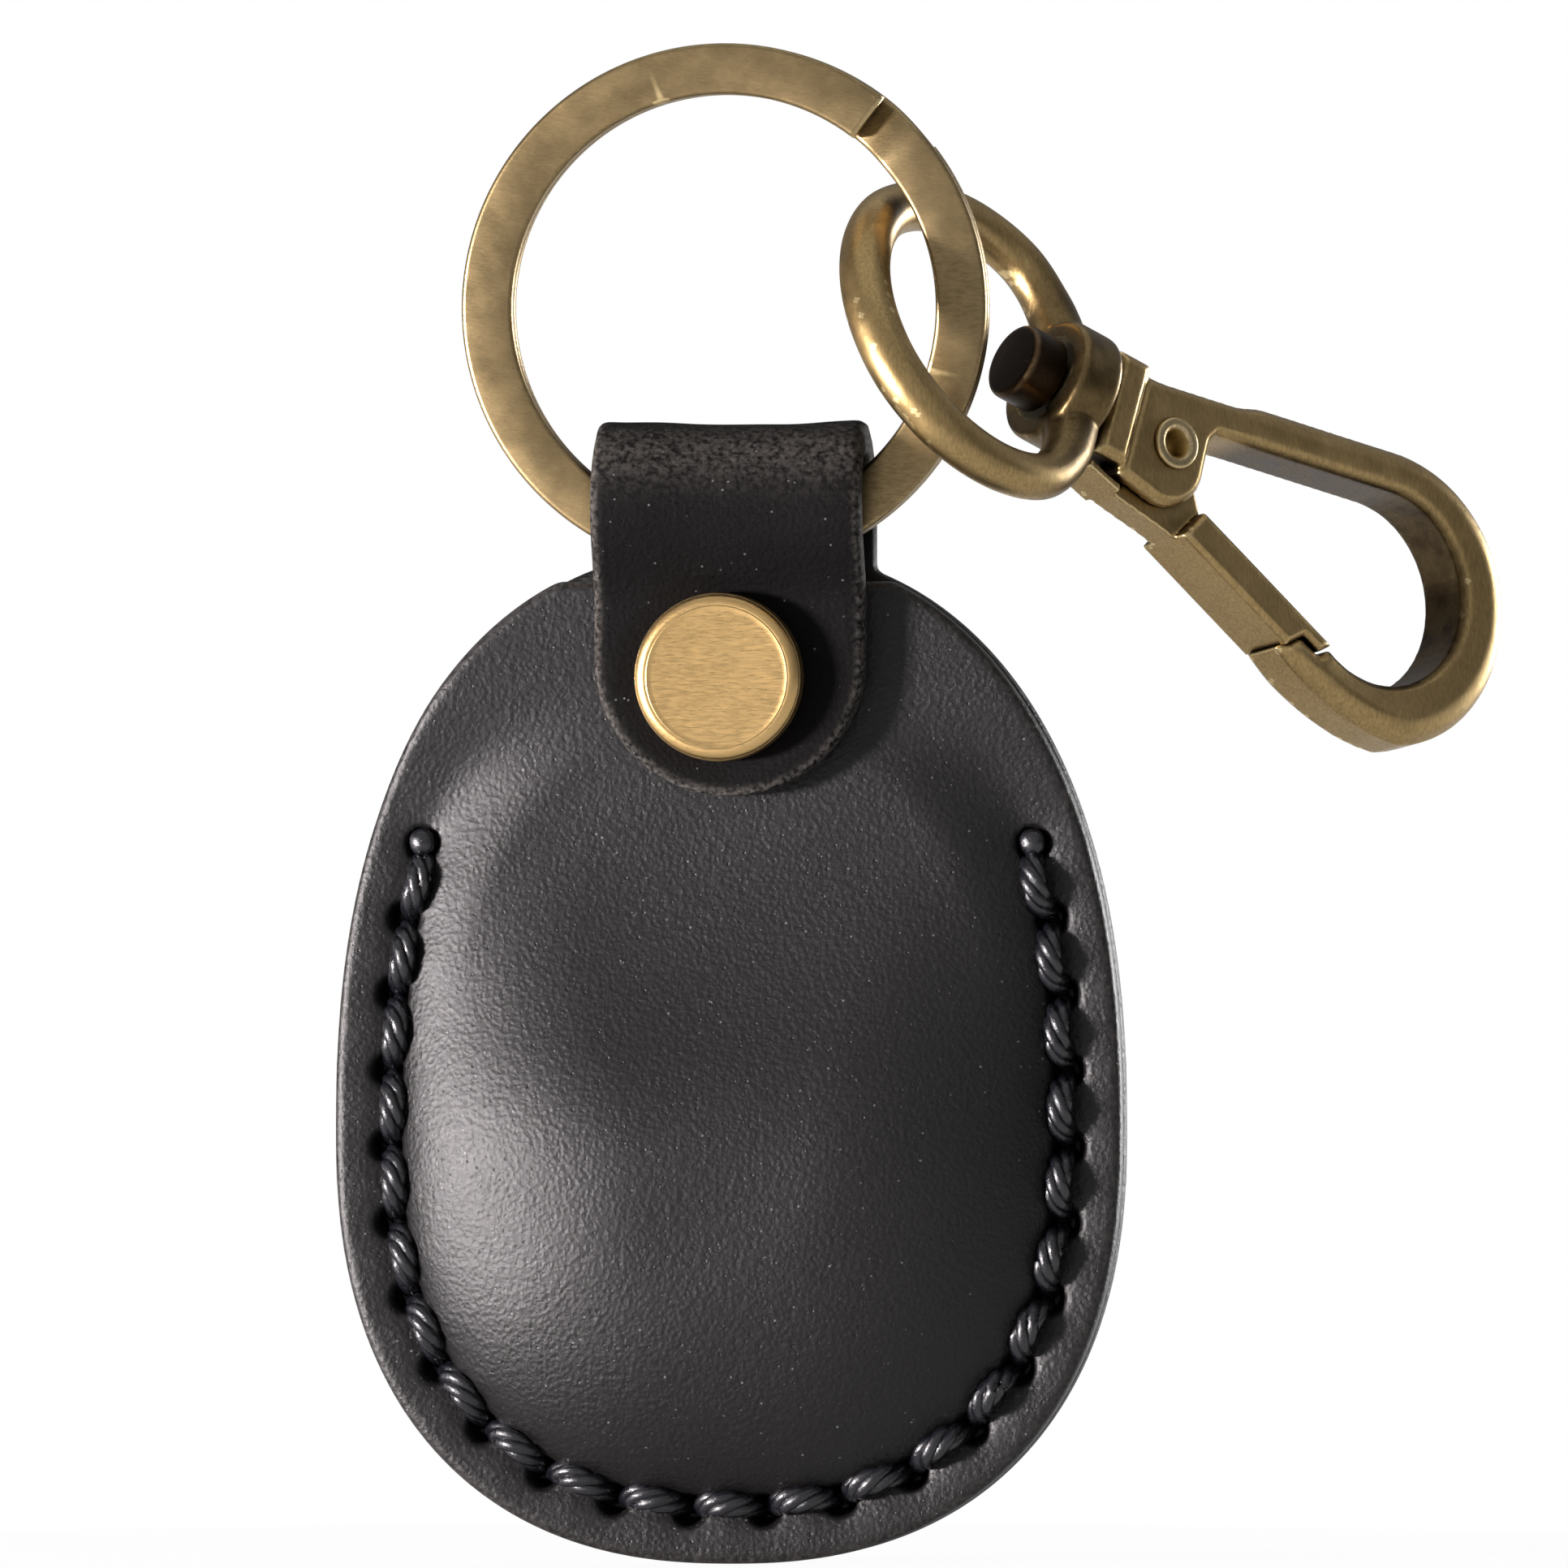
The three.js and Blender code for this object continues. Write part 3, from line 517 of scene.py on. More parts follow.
def strap_section(half, thick):
    """The strap's cross-section as (across, through) points, with rounded corners."""
    r = min(EDGE_R, half * 0.9)
    across = np.linspace(-half + r, half - r, 40)
    turns = np.linspace(0, math.pi / 2, 5)[1:]
    top = [(a, thick / 2) for a in across]
    right = [(half - r + r * math.sin(t), thick / 2 - r + r * math.cos(t)) for t in turns]
    right += [(half - r + r * math.cos(t), -thick / 2 + r - r * math.sin(t)) for t in np.append(0, turns)]
    rest = [(-a, -b) for a, b in top[1:] + right[:-1]]
    return np.array(top + right + rest)


def strap_path():
    """The strap's middle line as (y, z): up the back, round the fold and down the front in an S-bend."""
    middle_r = FOLD_INNER_R + LEATHER / 2
    up = [(-LEATHER / 2, z) for z in np.linspace(16, FOLD_Z, 20, endpoint=False)]
    turns = np.linspace(0, math.pi, 25)
    fold = [(FOLD_Y + middle_r * math.cos(t), FOLD_Z + middle_r * math.sin(t)) for t in turns]
    flap_y = FLAP_INNER_Y - LEATHER / 2
    front_y = FOLD_Y - middle_r
    down = []
    for z in np.linspace(FOLD_Z, STRAP_END, 60)[1:]:
        share = ease(z, 31.6, 37.6)
        down.append((flap_y + (front_y - flap_y) * share, z))
    return even(np.array(up + fold + down), 260)


def strap_and_flap():
    """The strap and the flap as one bent strip: (points, faces)."""
    path = strap_path()
    left = distances(path)
    left = left[-1] - left
    rounded = np.sqrt(np.maximum(STRAP_HALF ** 2 - (STRAP_HALF - left) ** 2, 0.3))
    half = np.where(left < STRAP_HALF, rounded, STRAP_HALF)
    along = directions(path)
    outwards = np.stack([along[:, 1], -along[:, 0]], -1)
    rows = []
    for (y, z), normal, width in zip(path, outwards, half):
        across, depth = strap_section(width, LEATHER).T
        fold_share = math.exp(-((z - FOLD_TOP + 1) / 1.6) ** 2)
        lift = FOLD_FLARE * fold_share * (across / STRAP_HALF) ** 2
        across = across * (1 - FOLD_NARROWING * fold_share)
        rows.append(np.stack([STRAP_X + across, y + normal[0] * depth, z + normal[1] * depth + lift], -1))
    return tube(np.array(rows))


def strap_wear(points):
    """1 on the rubbed edges of the strap, and partly on its fold."""
    side_edge = np.abs(np.abs(points[:, 0] - STRAP_X) - STRAP_HALF)
    end_centre = [STRAP_X, STRAP_END + STRAP_HALF]
    from_end = np.abs(np.linalg.norm(points[:, [0, 2]] - end_centre, axis=1) - STRAP_HALF)
    from_edge = np.where(points[:, 2] < end_centre[1], from_end, side_edge)
    strap = (points[:, 2] > FOLD_Z) | (points[:, 1] < -LEATHER - 0.5)
    on_edges = np.where(strap, 1 - ease(from_edge, 0.1, 0.7), 0)
    on_fold = 0.6 * np.exp(-((points[:, 2] - FOLD_TOP + 1.6) / 1.8) ** 2)
    return np.maximum(on_edges, on_fold)


def back_leather():
    """The back panel, the strap and the flap, one strip of leather."""
    loop = even(ALL_ROUND, 300)
    plate = egg_panel(loop, np.array([0.0, 0.0]), lambda flat, side: np.full(len(flat), -LEATHER * side))
    piece = flip_if_inside_out(new_object("pocket_back_and_strap", *stacked([plate, strap_and_flap()])))
    remeshed(piece, 0.26, 3)
    points = get_points(piece)
    on_back = (points[:, 1] > -0.7) & (points[:, 2] < STITCH_TOP + 3)
    points[on_back, 1] -= stitch_marks(points[on_back][:, [0, 2]])
    folded = ease(points[:, 2], FOLD_Z - 1, FOLD_TOP)
    points[:, 2] += 0.05 * folded * ripple(points * [0.35, 1, 1.6], 1.5, 8)
    on_flap = points[:, 1] < FLAP_INNER_Y - LEATHER * 0.6
    points[on_flap, 1] += 0.05 * ripple(points[on_flap], 6, 5)
    from_rivet = np.hypot(points[:, 0] - RIVET_X, points[:, 2] - RIVET_Z)
    round_cap = on_flap & (points[:, 2] < 33.5)
    points[round_cap, 1] += 0.22 * (1 - ease(from_rivet[round_cap], 4.6, 6.6))
    under_screw = (from_rivet < 2.6) & (points[:, 1] > -0.9)
    points[under_screw, 1] -= 0.25
    set_points(piece, points)
    store(piece, "wear", strap_wear(points))
    on_panel = 1 - ease(points[:, 2], 30, FOLD_Z)
    store(piece, "glaze", on_panel * ease(points[:, 1], -LEATHER - 0.6, -LEATHER - 0.2))
    return piece


# ---------------------------------------------------------------- thread

STRANDS = 4
STRAND_R = 0.40
STRAND_ORBIT = 0.44
LAY_LENGTH = 5.2  # of one full twist
STITCH_PULL = 0.42  # the stitches on the front bow in over the foot of the dome
FRONT_SKIN = -2 * LEATHER - GLUE


def stitch_path(a, b, surface, side, lift):
    """The middle of the thread from hole a over the leather to hole b. side is -1 on the front."""
    centre = np.array([0.0, 2.0])
    inwards = centre - (a + b) / 2
    pull = inwards / np.linalg.norm(inwards) * (STITCH_PULL if side < 0 else 0)
    rise = [[0.06, -1.9, 0.2], [0.13, -1.1, 0.5], [0.22, -0.1, 0.8], [0.34, lift * 0.85, 1]]
    fall = [[1 - share, height, sway] for share, height, sway in rise[::-1]]
    keys = []
    for share, height, sway in rise + [[0.5, lift + 0.1, 1]] + fall:
        x, z = a + (b - a) * share + pull * sway
        keys.append([x, surface + side * height, z])
    return smooth_line(keys, 30)


def twisted(path, side, phase):
    """The strands of one stitch, as (points, faces) pairs."""
    along = directions(path)
    over = np.array([0, side, 0]) - along * (along[:, 1] * side)[:, None]
    over /= np.linalg.norm(over, axis=1)[:, None]
    across = np.cross(along, over)
    travelled = np.linspace(0, 1, len(path))
    plump = 0.68 + 0.32 * np.sin(travelled * math.pi) ** 0.6
    parts = []
    for strand in range(STRANDS):
        angle = phase + 2 * math.pi * (strand / STRANDS + travelled * distances(path)[-1] / LAY_LENGTH)
        line = path + (np.cos(angle) * STRAND_ORBIT * plump)[:, None] * across
        line += (np.sin(angle) * STRAND_ORBIT * plump * 0.8)[:, None] * over
        parts.append(swept(line, STRAND_R * plump, 8, [0.3, 0.2, 0.93]))
    return parts


def melted_end(hole, surface, side):
    """The ball a burnt thread end leaves over its hole."""
    ball, faces = lathe([[math.sin(t), -math.cos(t)] for t in np.linspace(0, math.pi, 15)], 28)
    ball = ball * [0.8, 0.7, 0.85]
    ball *= (1 + 0.05 * ripple(ball * 3, 4, 21))[:, None]
    return ball + [hole[0], surface - side * 0.1, hole[1] + 0.1], faces


def stitch_thread():
    rng = np.random.default_rng(11)
    parts = []
    for surface, side in ((FRONT_SKIN, -1), (0.0, 1)):
        for a, b in zip(HOLES, HOLES[1:]):
            path = stitch_path(a, b, surface, side, 0.62 + rng.uniform(-0.05, 0.05))
            parts += twisted(path, side, rng.uniform(0, 2 * math.pi))
        parts += [melted_end(hole, surface, side) for hole in (HOLES[0], HOLES[-1])]
    return new_object("waxed_thread", *stacked(parts))


# ---------------------------------------------------------------- screw rivet

def rivet_cap():
    back = FLAP_INNER_Y - LEATHER - 0.1
    face = CAP_LOW[1]
    radius = (CAP_HIGH[0] - CAP_LOW[0]) / 2 + 0.1
    tip = CAP_HIGH[1]
    profile = rounded_profile([
        [0, face + 0.06, 0], [radius - 0.95, face + 0.06, 0.2], [radius - 0.62, face - 0.04, 0.2],
        [radius - 0.12, face + 0.24, 0.3], [radius, face + 0.85, 0.35],
        [radius, back + 0.15, 0.15], [radius - 0.3, back + 0.15, 0.1], [2.0, back, 0.05], [2.0, tip, 0.1],
        [1.5, tip, 0.1], [1.5, tip - 2.0, 0.1], [0, tip - 2.0, 0],
    ])
    points, faces = lathe(profile, 128)
    return flip_if_inside_out(new_object("rivet_cap_turned", points + [RIVET_X, 0, RIVET_Z], faces))


THREAD_R = 1.2
THREAD_ROOT_R = 0.98
THREAD_PITCH = 0.5


def screw_blank():
    """The turned screw, with its thread drawn as rings."""
    crown = SCREW_HIGH[1]
    seat = 0.05
    tip = SCREW_LOW[1]
    radius = (SCREW_HIGH[0] - SCREW_LOW[0]) / 2
    profile = [[0, crown, 0], [radius * 0.62, crown, 1.2]]
    profile += [[radius, seat + 0.35, 0.3], [radius, seat, 0.1], [THREAD_R, seat, 0]]
    for y in np.arange(seat - 1.2, tip + 0.5, -THREAD_PITCH):
        profile += [[THREAD_R, y, 0.04], [THREAD_ROOT_R, y - THREAD_PITCH / 2, 0.04]]
    profile += [[1.0, tip, 0.1], [0, tip, 0]]
    points, faces = lathe(rounded_profile(profile), 96)
    return flip_if_inside_out(new_object("rivet_screw_turned", points + [RIVET_X, 0, RIVET_Z], faces))


def recess_arm(wide, high):
    """One tapered bar of the cross recess."""
    corners = np.array([[-wide, -high], [wide, -high], [wide, high], [-wide, high]])
    points = []
    for share, y in ((0.55, SCREW_HIGH[1] - 0.85), (1, SCREW_HIGH[1] + 0.3)):
        points += [[RIVET_X + x * share, y, RIVET_Z + z * share] for x, z in corners]
    sides = [[i, (i + 1) % 4, 4 + (i + 1) % 4, 4 + i] for i in range(4)]
    return flip_if_inside_out(new_object("cutter", points, [[3, 2, 1, 0], [4, 5, 6, 7]] + sides))


def rivet_screw():
    screw = screw_blank()
    for wide, high in ((1.9, 0.42), (0.42, 1.9)):
        cut(screw, recess_arm(wide, high))
    return screw


# ---------------------------------------------------------------- key ring

def key_ring():
    """One flat wire in two coils, crossing from the front coil to the back one in the joggle."""
    thick = (RING_HIGH[1] - RING_LOW[1] - COIL_GAP) / 2
    offset = (thick + COIL_GAP) / 2
    span = 720 - JOGGLE_WIDE - 2
    count = 520
    travelled = np.linspace(0, span, count)
    turn = np.radians(JOGGLE_AT + JOGGLE_WIDE / 2 + travelled)
    crossing = ease(travelled, 360 - JOGGLE_WIDE, 360)
    y = RING_CENTRE[1] + offset * (2 * crossing - 1)
    middle_r = (RING_OUTER_R + RING_INNER_R) / 2
    half = (RING_OUTER_R - RING_INNER_R) / 2
    section = []
    for across, through, start in ((1, 1, 0), (-1, 1, 90), (-1, -1, 180), (1, -1, 270)):
        corner = np.array([across * (half - WIRE_EDGE_R), through * (thick / 2 - WIRE_EDGE_R)])
        for t in np.radians(np.linspace(start, start + 90, 5)):
            section.append(corner + WIRE_EDGE_R * np.array([math.cos(t), math.sin(t)]))
    section = np.array(section)
    radial = middle_r + section[:, 0]
    rows = np.stack([
        RING_CENTRE[0] + radial[None] * np.cos(turn)[:, None],
        y[:, None] + section[:, 1][None],
        RING_CENTRE[2] + radial[None] * np.sin(turn)[:, None],
    ], -1)
    return flip_if_inside_out(new_object("split_ring", *tube(rows)))


# ---------------------------------------------------------------- snap hook

def to_part(points):
    """From the hook's own frame to the part's."""
    return np.asarray(points, float) @ HOOK_AXES + HOOK_PIVOT


def on_axle(points, roll=0.0):
    """The same for a shape drawn about the swivel pin's axis and turned about it by roll."""
    c, s = math.cos(roll), math.sin(roll)
    return to_part(np.asarray(points, float) @ np.array([[1, 0, 0], [0, c, -s], [0, s, c]]).T + AXLE)


def to_hook(points):
    return (points - HOOK_PIVOT) @ HOOK_AXES.T


def cad_shape(node):
    """The points and faces of a CAD node."""
    source = frame["nodes"][node]
    points = np.array([vertex.co for vertex in source.data.vertices]) / MM
    return points, [list(polygon.vertices) for polygon in source.data.polygons]


def cast_from(node, name, voxel, passes):
    """A dense copy of a CAD node with softened edges, as a casting has, in the hook's own frame."""
    points, faces = cad_shape(node)
    piece = new_object(name, to_hook(points), faces)
    return remeshed(piece, voxel * (1), passes)


def bow_lines():
    """The outer and inner outlines of the hook as (x, z), from the cheeks round to the nose."""
    square = math.pi / 2 + SPINE_RISE

    def arc(centre, radius, end):
        turn = np.linspace(square, end, 90)
        return np.stack([centre[0] + radius * np.cos(turn), centre[1] + radius * np.sin(turn)], -1)

    bow = arc(BOW_CENTRE, BOW_R, BOW_END)
    t = np.linspace(0, 1, 20)[:, None]
    bend = (1 - t) ** 2 * bow[-1] + 2 * t * (1 - t) * np.array(NOSE_BEND) + t ** 2 * np.array(NOSE)
    outer = np.concatenate([[SPINE_ROOT], bow, bend])
    inner = np.concatenate([[SPINE_INNER_ROOT], arc(EYE_CENTRE, EYE_R, EYE_END)])
    return even(outer, 400), even(inner, 400)


def hook_body():
    """The casting, worn to a soft ridge along the bar and the bow, flatter inside it than outside."""
    piece = cast_from("hook_body", "hook_casting", 0.13, 5)
    p = get_points(piece)
    x, y = p[:, 0], p[:, 1]
    outer, inner = bow_lines()
    to_outer = nearest(p[:, [0, 2]], outer)
    to_inner = nearest(p[:, [0, 2]], inner)
    share = to_inner / (to_inner + to_outer)
    fall_out = np.clip((share - RIDGE_AT) / (1 - RIDGE_AT), 0, 1)
    fall_in = np.clip((RIDGE_AT - share) / RIDGE_AT, 0, 1)
    thinning = 0.32 * fall_out ** 1.5 + 0.10 * fall_in
    past_cheeks = ease(x, 3.6, 6.5)
    p[:, 1] = y * (1 - past_cheeks * thinning)
    swell = OUTER_SWELL * past_cheeks * ease(share, 0.4, 0.9)
    p[:, [0, 2]] += away_from(p[:, [0, 2]], inner) * swell[:, None]
    set_points(piece, to_part(p))
    # Darker along the inner outline past the cheeks: painted shade on the inner side, with patina.
    store(piece, "shade_and_patina", past_cheeks * (1 - ease(share, 0.03, 0.18)))
    return piece


def hook_gate():
    piece = cast_from("hook_gate", "trigger_gate", 0.11, 4)
    set_points(piece, to_part(get_points(piece)))
    return piece


def gate_pivot():
    half = HOOK_HALF_THICK + 0.03
    body = rounded_profile([
        [0.85, -half - 0.12, 0], [1.1, -half - 0.36, 0.16], [1.58, -half - 0.3, 0.18], [1.6, -half, 0.08],
        [1.1, -half, 0.05], [1.1, half, 0.05], [1.6, half, 0.08], [1.58, half + 0.3, 0.18],
        [1.1, half + 0.36, 0.16], [0.85, half + 0.12, 0],
    ])
    sides = 64
    turn = np.linspace(0, 2 * math.pi, sides, endpoint=False)
    rows = np.stack([np.stack([r * np.cos(turn), np.full(sides, y), r * np.sin(turn)], -1) for r, y in body])
    faces = grid_faces(len(rows), sides, close_rows=True, close_columns=True)
    piece = new_object("hollow_pivot", to_part(rows.reshape(-1, 3)), faces)
    return flip_if_inside_out(piece)


def turned_along_x(profile, segments):
    """A lathe about +X of the hook's frame, as (points, faces)."""
    points, faces = lathe(profile, segments)
    return points[:, [1, 0, 2]] * [1, 1, -1], faces


def swivel_pin():
    profile = rounded_profile([
        [0, -11.45, 0], [2.4, -11.4, 0.45], [2.4, -8.95, 0.12],
        [1.25, -8.95, 0.05], [1.25, -3.6, 0.1], [0, -3.6, 0],
    ])
    points, faces = turned_along_x(profile, 96)
    return flip_if_inside_out(new_object("mushroom_pin", on_axle(points), faces))


BAIL_SIDE = [[-6.9, 3.0], [-7.9, 6.4], [-10.0, 9.1], [-13.6, 10.2], [-17.4, 9.5], [-20.6, 7.1], [-22.4, 3.8]]
BAIL_END = -23.0
BOSS_NEAR = -5.7
BOSS_FAR = -8.75
BOSS_R = 3.95
HEAD_ROOM_R = 2.7  # kept free for the pin's head
BORE_R = 1.42


def bail_wire():
    """The bow of the bail, a little thicker where it meets the boss."""
    one_side = [[x, 0, z] for x, z in BAIL_SIDE]
    other_side = [[x, 0, -z] for x, z in BAIL_SIDE[::-1]]
    path = smooth_line(one_side + [[BAIL_END, 0, 0]] + other_side, 140)
    share = np.abs(np.linspace(-1, 1, len(path)))
    wire_r = 1.55 - 0.12 * ease(share, 0.25, 0.7) + 0.25 * ease(share, 0.8, 1.0)
    return swept(path, wire_r, 32, [0, 1, 0])


def swivel_bail():
    """Wire bow fused with its bored boss."""
    corners = [[0, BOSS_FAR, 0], [BOSS_R, BOSS_FAR, 0.5], [BOSS_R, BOSS_NEAR, 0.5], [0, BOSS_NEAR, 0]]
    boss = turned_along_x(rounded_profile(corners), 64)
    piece = new_object("bail_casting", *stacked([bail_wire(), boss]))
    flip_shells_out(piece)
    remeshed(piece, 0.14 * (1), 6)
    for radius, low, high in ((HEAD_ROOM_R, -14.0, BOSS_FAR), (BORE_R, -14.0, 0.0), (9, BOSS_NEAR, 0.0)):
        profile = [[0, low], [radius, low], [radius, high], [0, high]]
        cut(piece, flip_if_inside_out(new_object("cutter", *turned_along_x(profile, 48))))
    piece.data.shade_smooth()
    own = get_points(piece)
    set_points(piece, on_axle(own, BAIL_ROLL))
    # Painted shade: the boss and the wire next to it are darkened for the deep shade inside the bail.
    store(piece, "shade_and_patina", 0.8 * ease(own[:, 0], -11, -8))
    return piece


def gate_spring():
    return new_object("torsion_spring", *cad_shape("gate_spring"))


# ---------------------------------------------------------------- materials

class Look:
    """A node material with short calls for adding and joining nodes."""

    def __init__(self, name):
        self.material = bpy.data.materials.new(name)
        self.material.use_nodes = True
        self.tree = self.material.node_tree
        self.shader = self.tree.nodes["Principled BSDF"]
        coordinates = self.add("ShaderNodeTexCoord").outputs["Object"]
        scale = self.add("ShaderNodeVectorMath", Vector=coordinates)
        scale.operation = "SCALE"
        scale.inputs["Scale"].default_value = 1 / MM
        self.mm = scale.outputs["Vector"]

    def add(self, kind, **inputs):
        node = self.tree.nodes.new(kind)
        for name, value in inputs.items():
            self.put(node.inputs[name.replace("_", " ")], value)
        return node

    def put(self, socket, value):
        if isinstance(value, bpy.types.NodeSocket):
            self.tree.links.new(value, socket)
        else:
            socket.default_value = value

    def set(self, **inputs):
        for name, value in inputs.items():
            self.put(self.shader.inputs[name.replace("_", " ")], value)

    def noise(self, scale, detail=3.0, rough=0.5, stretch=None, distortion=0.0):
        vector = self.mm
        if stretch:
            vector = self.add("ShaderNodeMapping", Vector=self.mm, Scale=stretch).outputs["Vector"]
        node = self.add("ShaderNodeTexNoise", Vector=vector, Scale=scale, Detail=detail,
                        Roughness=rough, Distortion=distortion)
        return node.outputs["Fac"]

    def cells(self, scale, feature="F1", smooth=0.0):
        node = self.add("ShaderNodeTexVoronoi", Vector=self.mm, Scale=scale)
        node.feature = feature
        if feature == "SMOOTH_F1":
            node.inputs["Smoothness"].default_value = smooth
        return node.outputs["Distance"]

    def span(self, value, low, high, to_low=0.0, to_high=1.0):
        node = self.add("ShaderNodeMapRange")
        node.interpolation_type = "SMOOTHSTEP"
        for index, item in enumerate((value, low, high, to_low, to_high)):
            self.put(node.inputs[index], item)
        return node.outputs["Result"]

    def math(self, operation, a, b=0.0):
        node = self.add("ShaderNodeMath")
        node.operation = operation
        self.put(node.inputs[0], a)
        self.put(node.inputs[1], b)
        return node.outputs[0]

    def mix(self, share, a, b):
        node = self.add("ShaderNodeMix")
        node.data_type = "RGBA"
        self.put(node.inputs["Factor"], share)
        self.put(node.inputs[6], a)
        self.put(node.inputs[7], b)
        return node.outputs[2]

    def bump(self, height, distance, strength=1.0, normal=None):
        node = self.add("ShaderNodeBump", Height=height, Distance=distance * MM, Strength=strength)
        if normal is not None:
            self.put(node.inputs["Normal"], normal)
        return node.outputs["Normal"]

    def stored(self, name):
        """A number kept at each point by store(), 0 where a piece has none."""
        node = self.add("ShaderNodeAttribute")
        node.attribute_name = name
        return node.outputs["Fac"]

    def pointiness(self):
        return self.add("ShaderNodeNewGeometry").outputs["Pointiness"]

    def recess(self, distance):
        return self.add("ShaderNodeAmbientOcclusion", Distance=distance * MM).outputs["AO"]


def colour(r, g, b):
    return (r, g, b, 1.0)


def leather_look(name, rough, shine, wrinkle, edge, depth):
    """Grained leather. wrinkle is the strength of the creases, edge the paleness of worn places.

    depth scales the dye.
    """
    look = Look(name)
    grain = look.noise(3.4, 5.0, 0.7)
    pebble = look.cells(3.2, "SMOOTH_F1", 0.6)
    pore = look.span(look.cells(1.5), 0.05, 0.16)
    soft = look.noise(0.18, 3.0, 0.55)
    black = colour(0.0095 * depth, 0.0085 * depth, 0.009 * depth)
    charcoal = colour(0.015 * depth, 0.0135 * depth, 0.014 * depth)
    tone = look.mix(soft, black, charcoal)
    speck = look.span(look.cells(1.3), 0.12, 0.05)
    speck_here = look.math("MULTIPLY", speck, look.span(look.noise(0.9, 1.0), 0.47, 0.58))
    tone = look.mix(look.math("MULTIPLY", speck_here, 0.35), tone, colour(0.30, 0.29, 0.30))
    wear = look.stored("wear")
    worn = look.math("MULTIPLY", wear, look.span(look.noise(3.0, 4.0), 0.3, 0.7))
    tone = look.mix(look.math("MULTIPLY", worn, edge), tone, colour(0.085, 0.078, 0.07))
    height = look.math("ADD", look.math("MULTIPLY", grain, 0.7), look.math("MULTIPLY", pebble, 0.5))
    height = look.math("ADD", height, look.math("MULTIPLY", pore, 0.35))
    normal = look.bump(height, 0.075, 0.85)
    if wrinkle:
        crease = look.noise(1.1, 5.0, 0.65, stretch=(0.55, 1.0, 2.4), distortion=0.6)
        strength = look.math("ADD", look.math("MULTIPLY", wear, wrinkle), wrinkle * 0.7)
        normal = look.bump(crease, 0.22, strength, normal)
    rough_here = look.span(look.noise(2.5, 4.0), 0.3, 0.7, rough - 0.03, rough + 0.04)
    glaze = look.stored("glaze")
    rough_here = look.math("SUBTRACT", rough_here, look.math("MULTIPLY", glaze, 0.26))
    shine_here = look.math("ADD", look.math("MULTIPLY", glaze, 0.27), shine)
    look.set(Base_Color=tone, Roughness=rough_here, Normal=normal, Specular_IOR_Level=shine_here)
    return look.material


def thread_look():
    look = Look("waxed_thread_black")
    fibre = look.noise(9.0, 3.0, 0.6)
    wax = look.noise(1.2, 3.0)
    tone = look.mix(wax, colour(0.002, 0.002, 0.003), colour(0.006, 0.006, 0.009))
    look.set(Base_Color=tone, Roughness=look.span(wax, 0.3, 0.7, 0.2, 0.34), Coat_Weight=0.5,
             Coat_Roughness=0.1, Normal=look.bump(fibre, 0.05, 0.7))
    return look.material


def satin_brass_look():
    look = Look("satin_brass")
    streak = look.noise(7.0, 4.0, 0.7, stretch=(0.2, 1.0, 2.4))
    cloud = look.noise(0.35, 3.0)
    tone = look.mix(cloud, colour(0.62, 0.41, 0.17), colour(0.7, 0.48, 0.21))
    tone = look.mix(look.span(streak, 0.35, 0.65, 0.0, 0.3), tone, colour(0.54, 0.35, 0.14))
    look.set(Base_Color=tone, Metallic=1.0, Roughness=look.span(streak, 0.3, 0.7, 0.26, 0.42),
             Normal=look.bump(streak, 0.008, 0.2))
    return look.material


def antique_look(name, dark, middle, bright, rough, streak_stretch, edge_low=0.495, edge_high=0.56):
    """Dark in the recesses, as patina and as painted shade, rubbed bright on the edges, with a brushed
    grain.
    """
    look = Look(name)
    streak = look.noise(6.0, 4.0, 0.65, stretch=streak_stretch)
    cloud = look.noise(0.55, 4.0, 0.6)
    worn = look.span(look.pointiness(), edge_low, edge_high)
    worn = look.math("ADD", worn, look.span(cloud, 0.4, 0.8, -0.08, 0.1))
    # Recesses take the dark colour: patina, and painted shade where little light reaches.
    hollow = look.span(look.recess(2.4), 0.2, 0.85)
    base = look.mix(hollow, dark, middle)
    base = look.mix(look.span(streak, 0.3, 0.7, 0.0, 0.35), base, dark)
    tone = look.mix(look.span(worn, 0.15, 0.95, 0.0, 0.85), base, bright)
    # Where a piece marks it, it is darker still: painted shade inside the bail and along the hook's inner
    # outline, with patina.
    shade_and_patina = look.math("MULTIPLY", look.stored("shade_and_patina"), look.span(cloud, 0.2, 0.7, 1.0, 0.75))
    tone = look.mix(shade_and_patina, tone, dark)
    rough_here = look.span(look.math("ADD", streak, cloud), 0.6, 1.4, rough - 0.06, rough + 0.1)
    look.set(Base_Color=tone, Metallic=1.0, Roughness=rough_here, Normal=look.bump(streak, 0.02, 0.6))
    return look.material


def steel_look():
    look = Look("spring_wire")
    streak = look.noise(5.0, 3.0)
    look.set(Base_Color=colour(0.45, 0.45, 0.44), Metallic=1.0,
             Roughness=look.span(streak, 0.3, 0.7, 0.22, 0.4))
    return look.material


# ---------------------------------------------------------------- pieces, bodies and finishes

def place(piece, body, material, slot, *nodes):
    piece.data.materials.clear()
    piece.data.materials.append(material)
    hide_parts(*nodes)
    if body:
        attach(piece, body)


smooth_leather = leather_look("charcoal_leather", 0.395, 0.33, 0.0, 0.35, 0.32)
strap_leather = leather_look("strap_leather", 0.66, 0.06, 0.5, 0.9, 0.25)
thread = thread_look()
satin_brass = satin_brass_look()
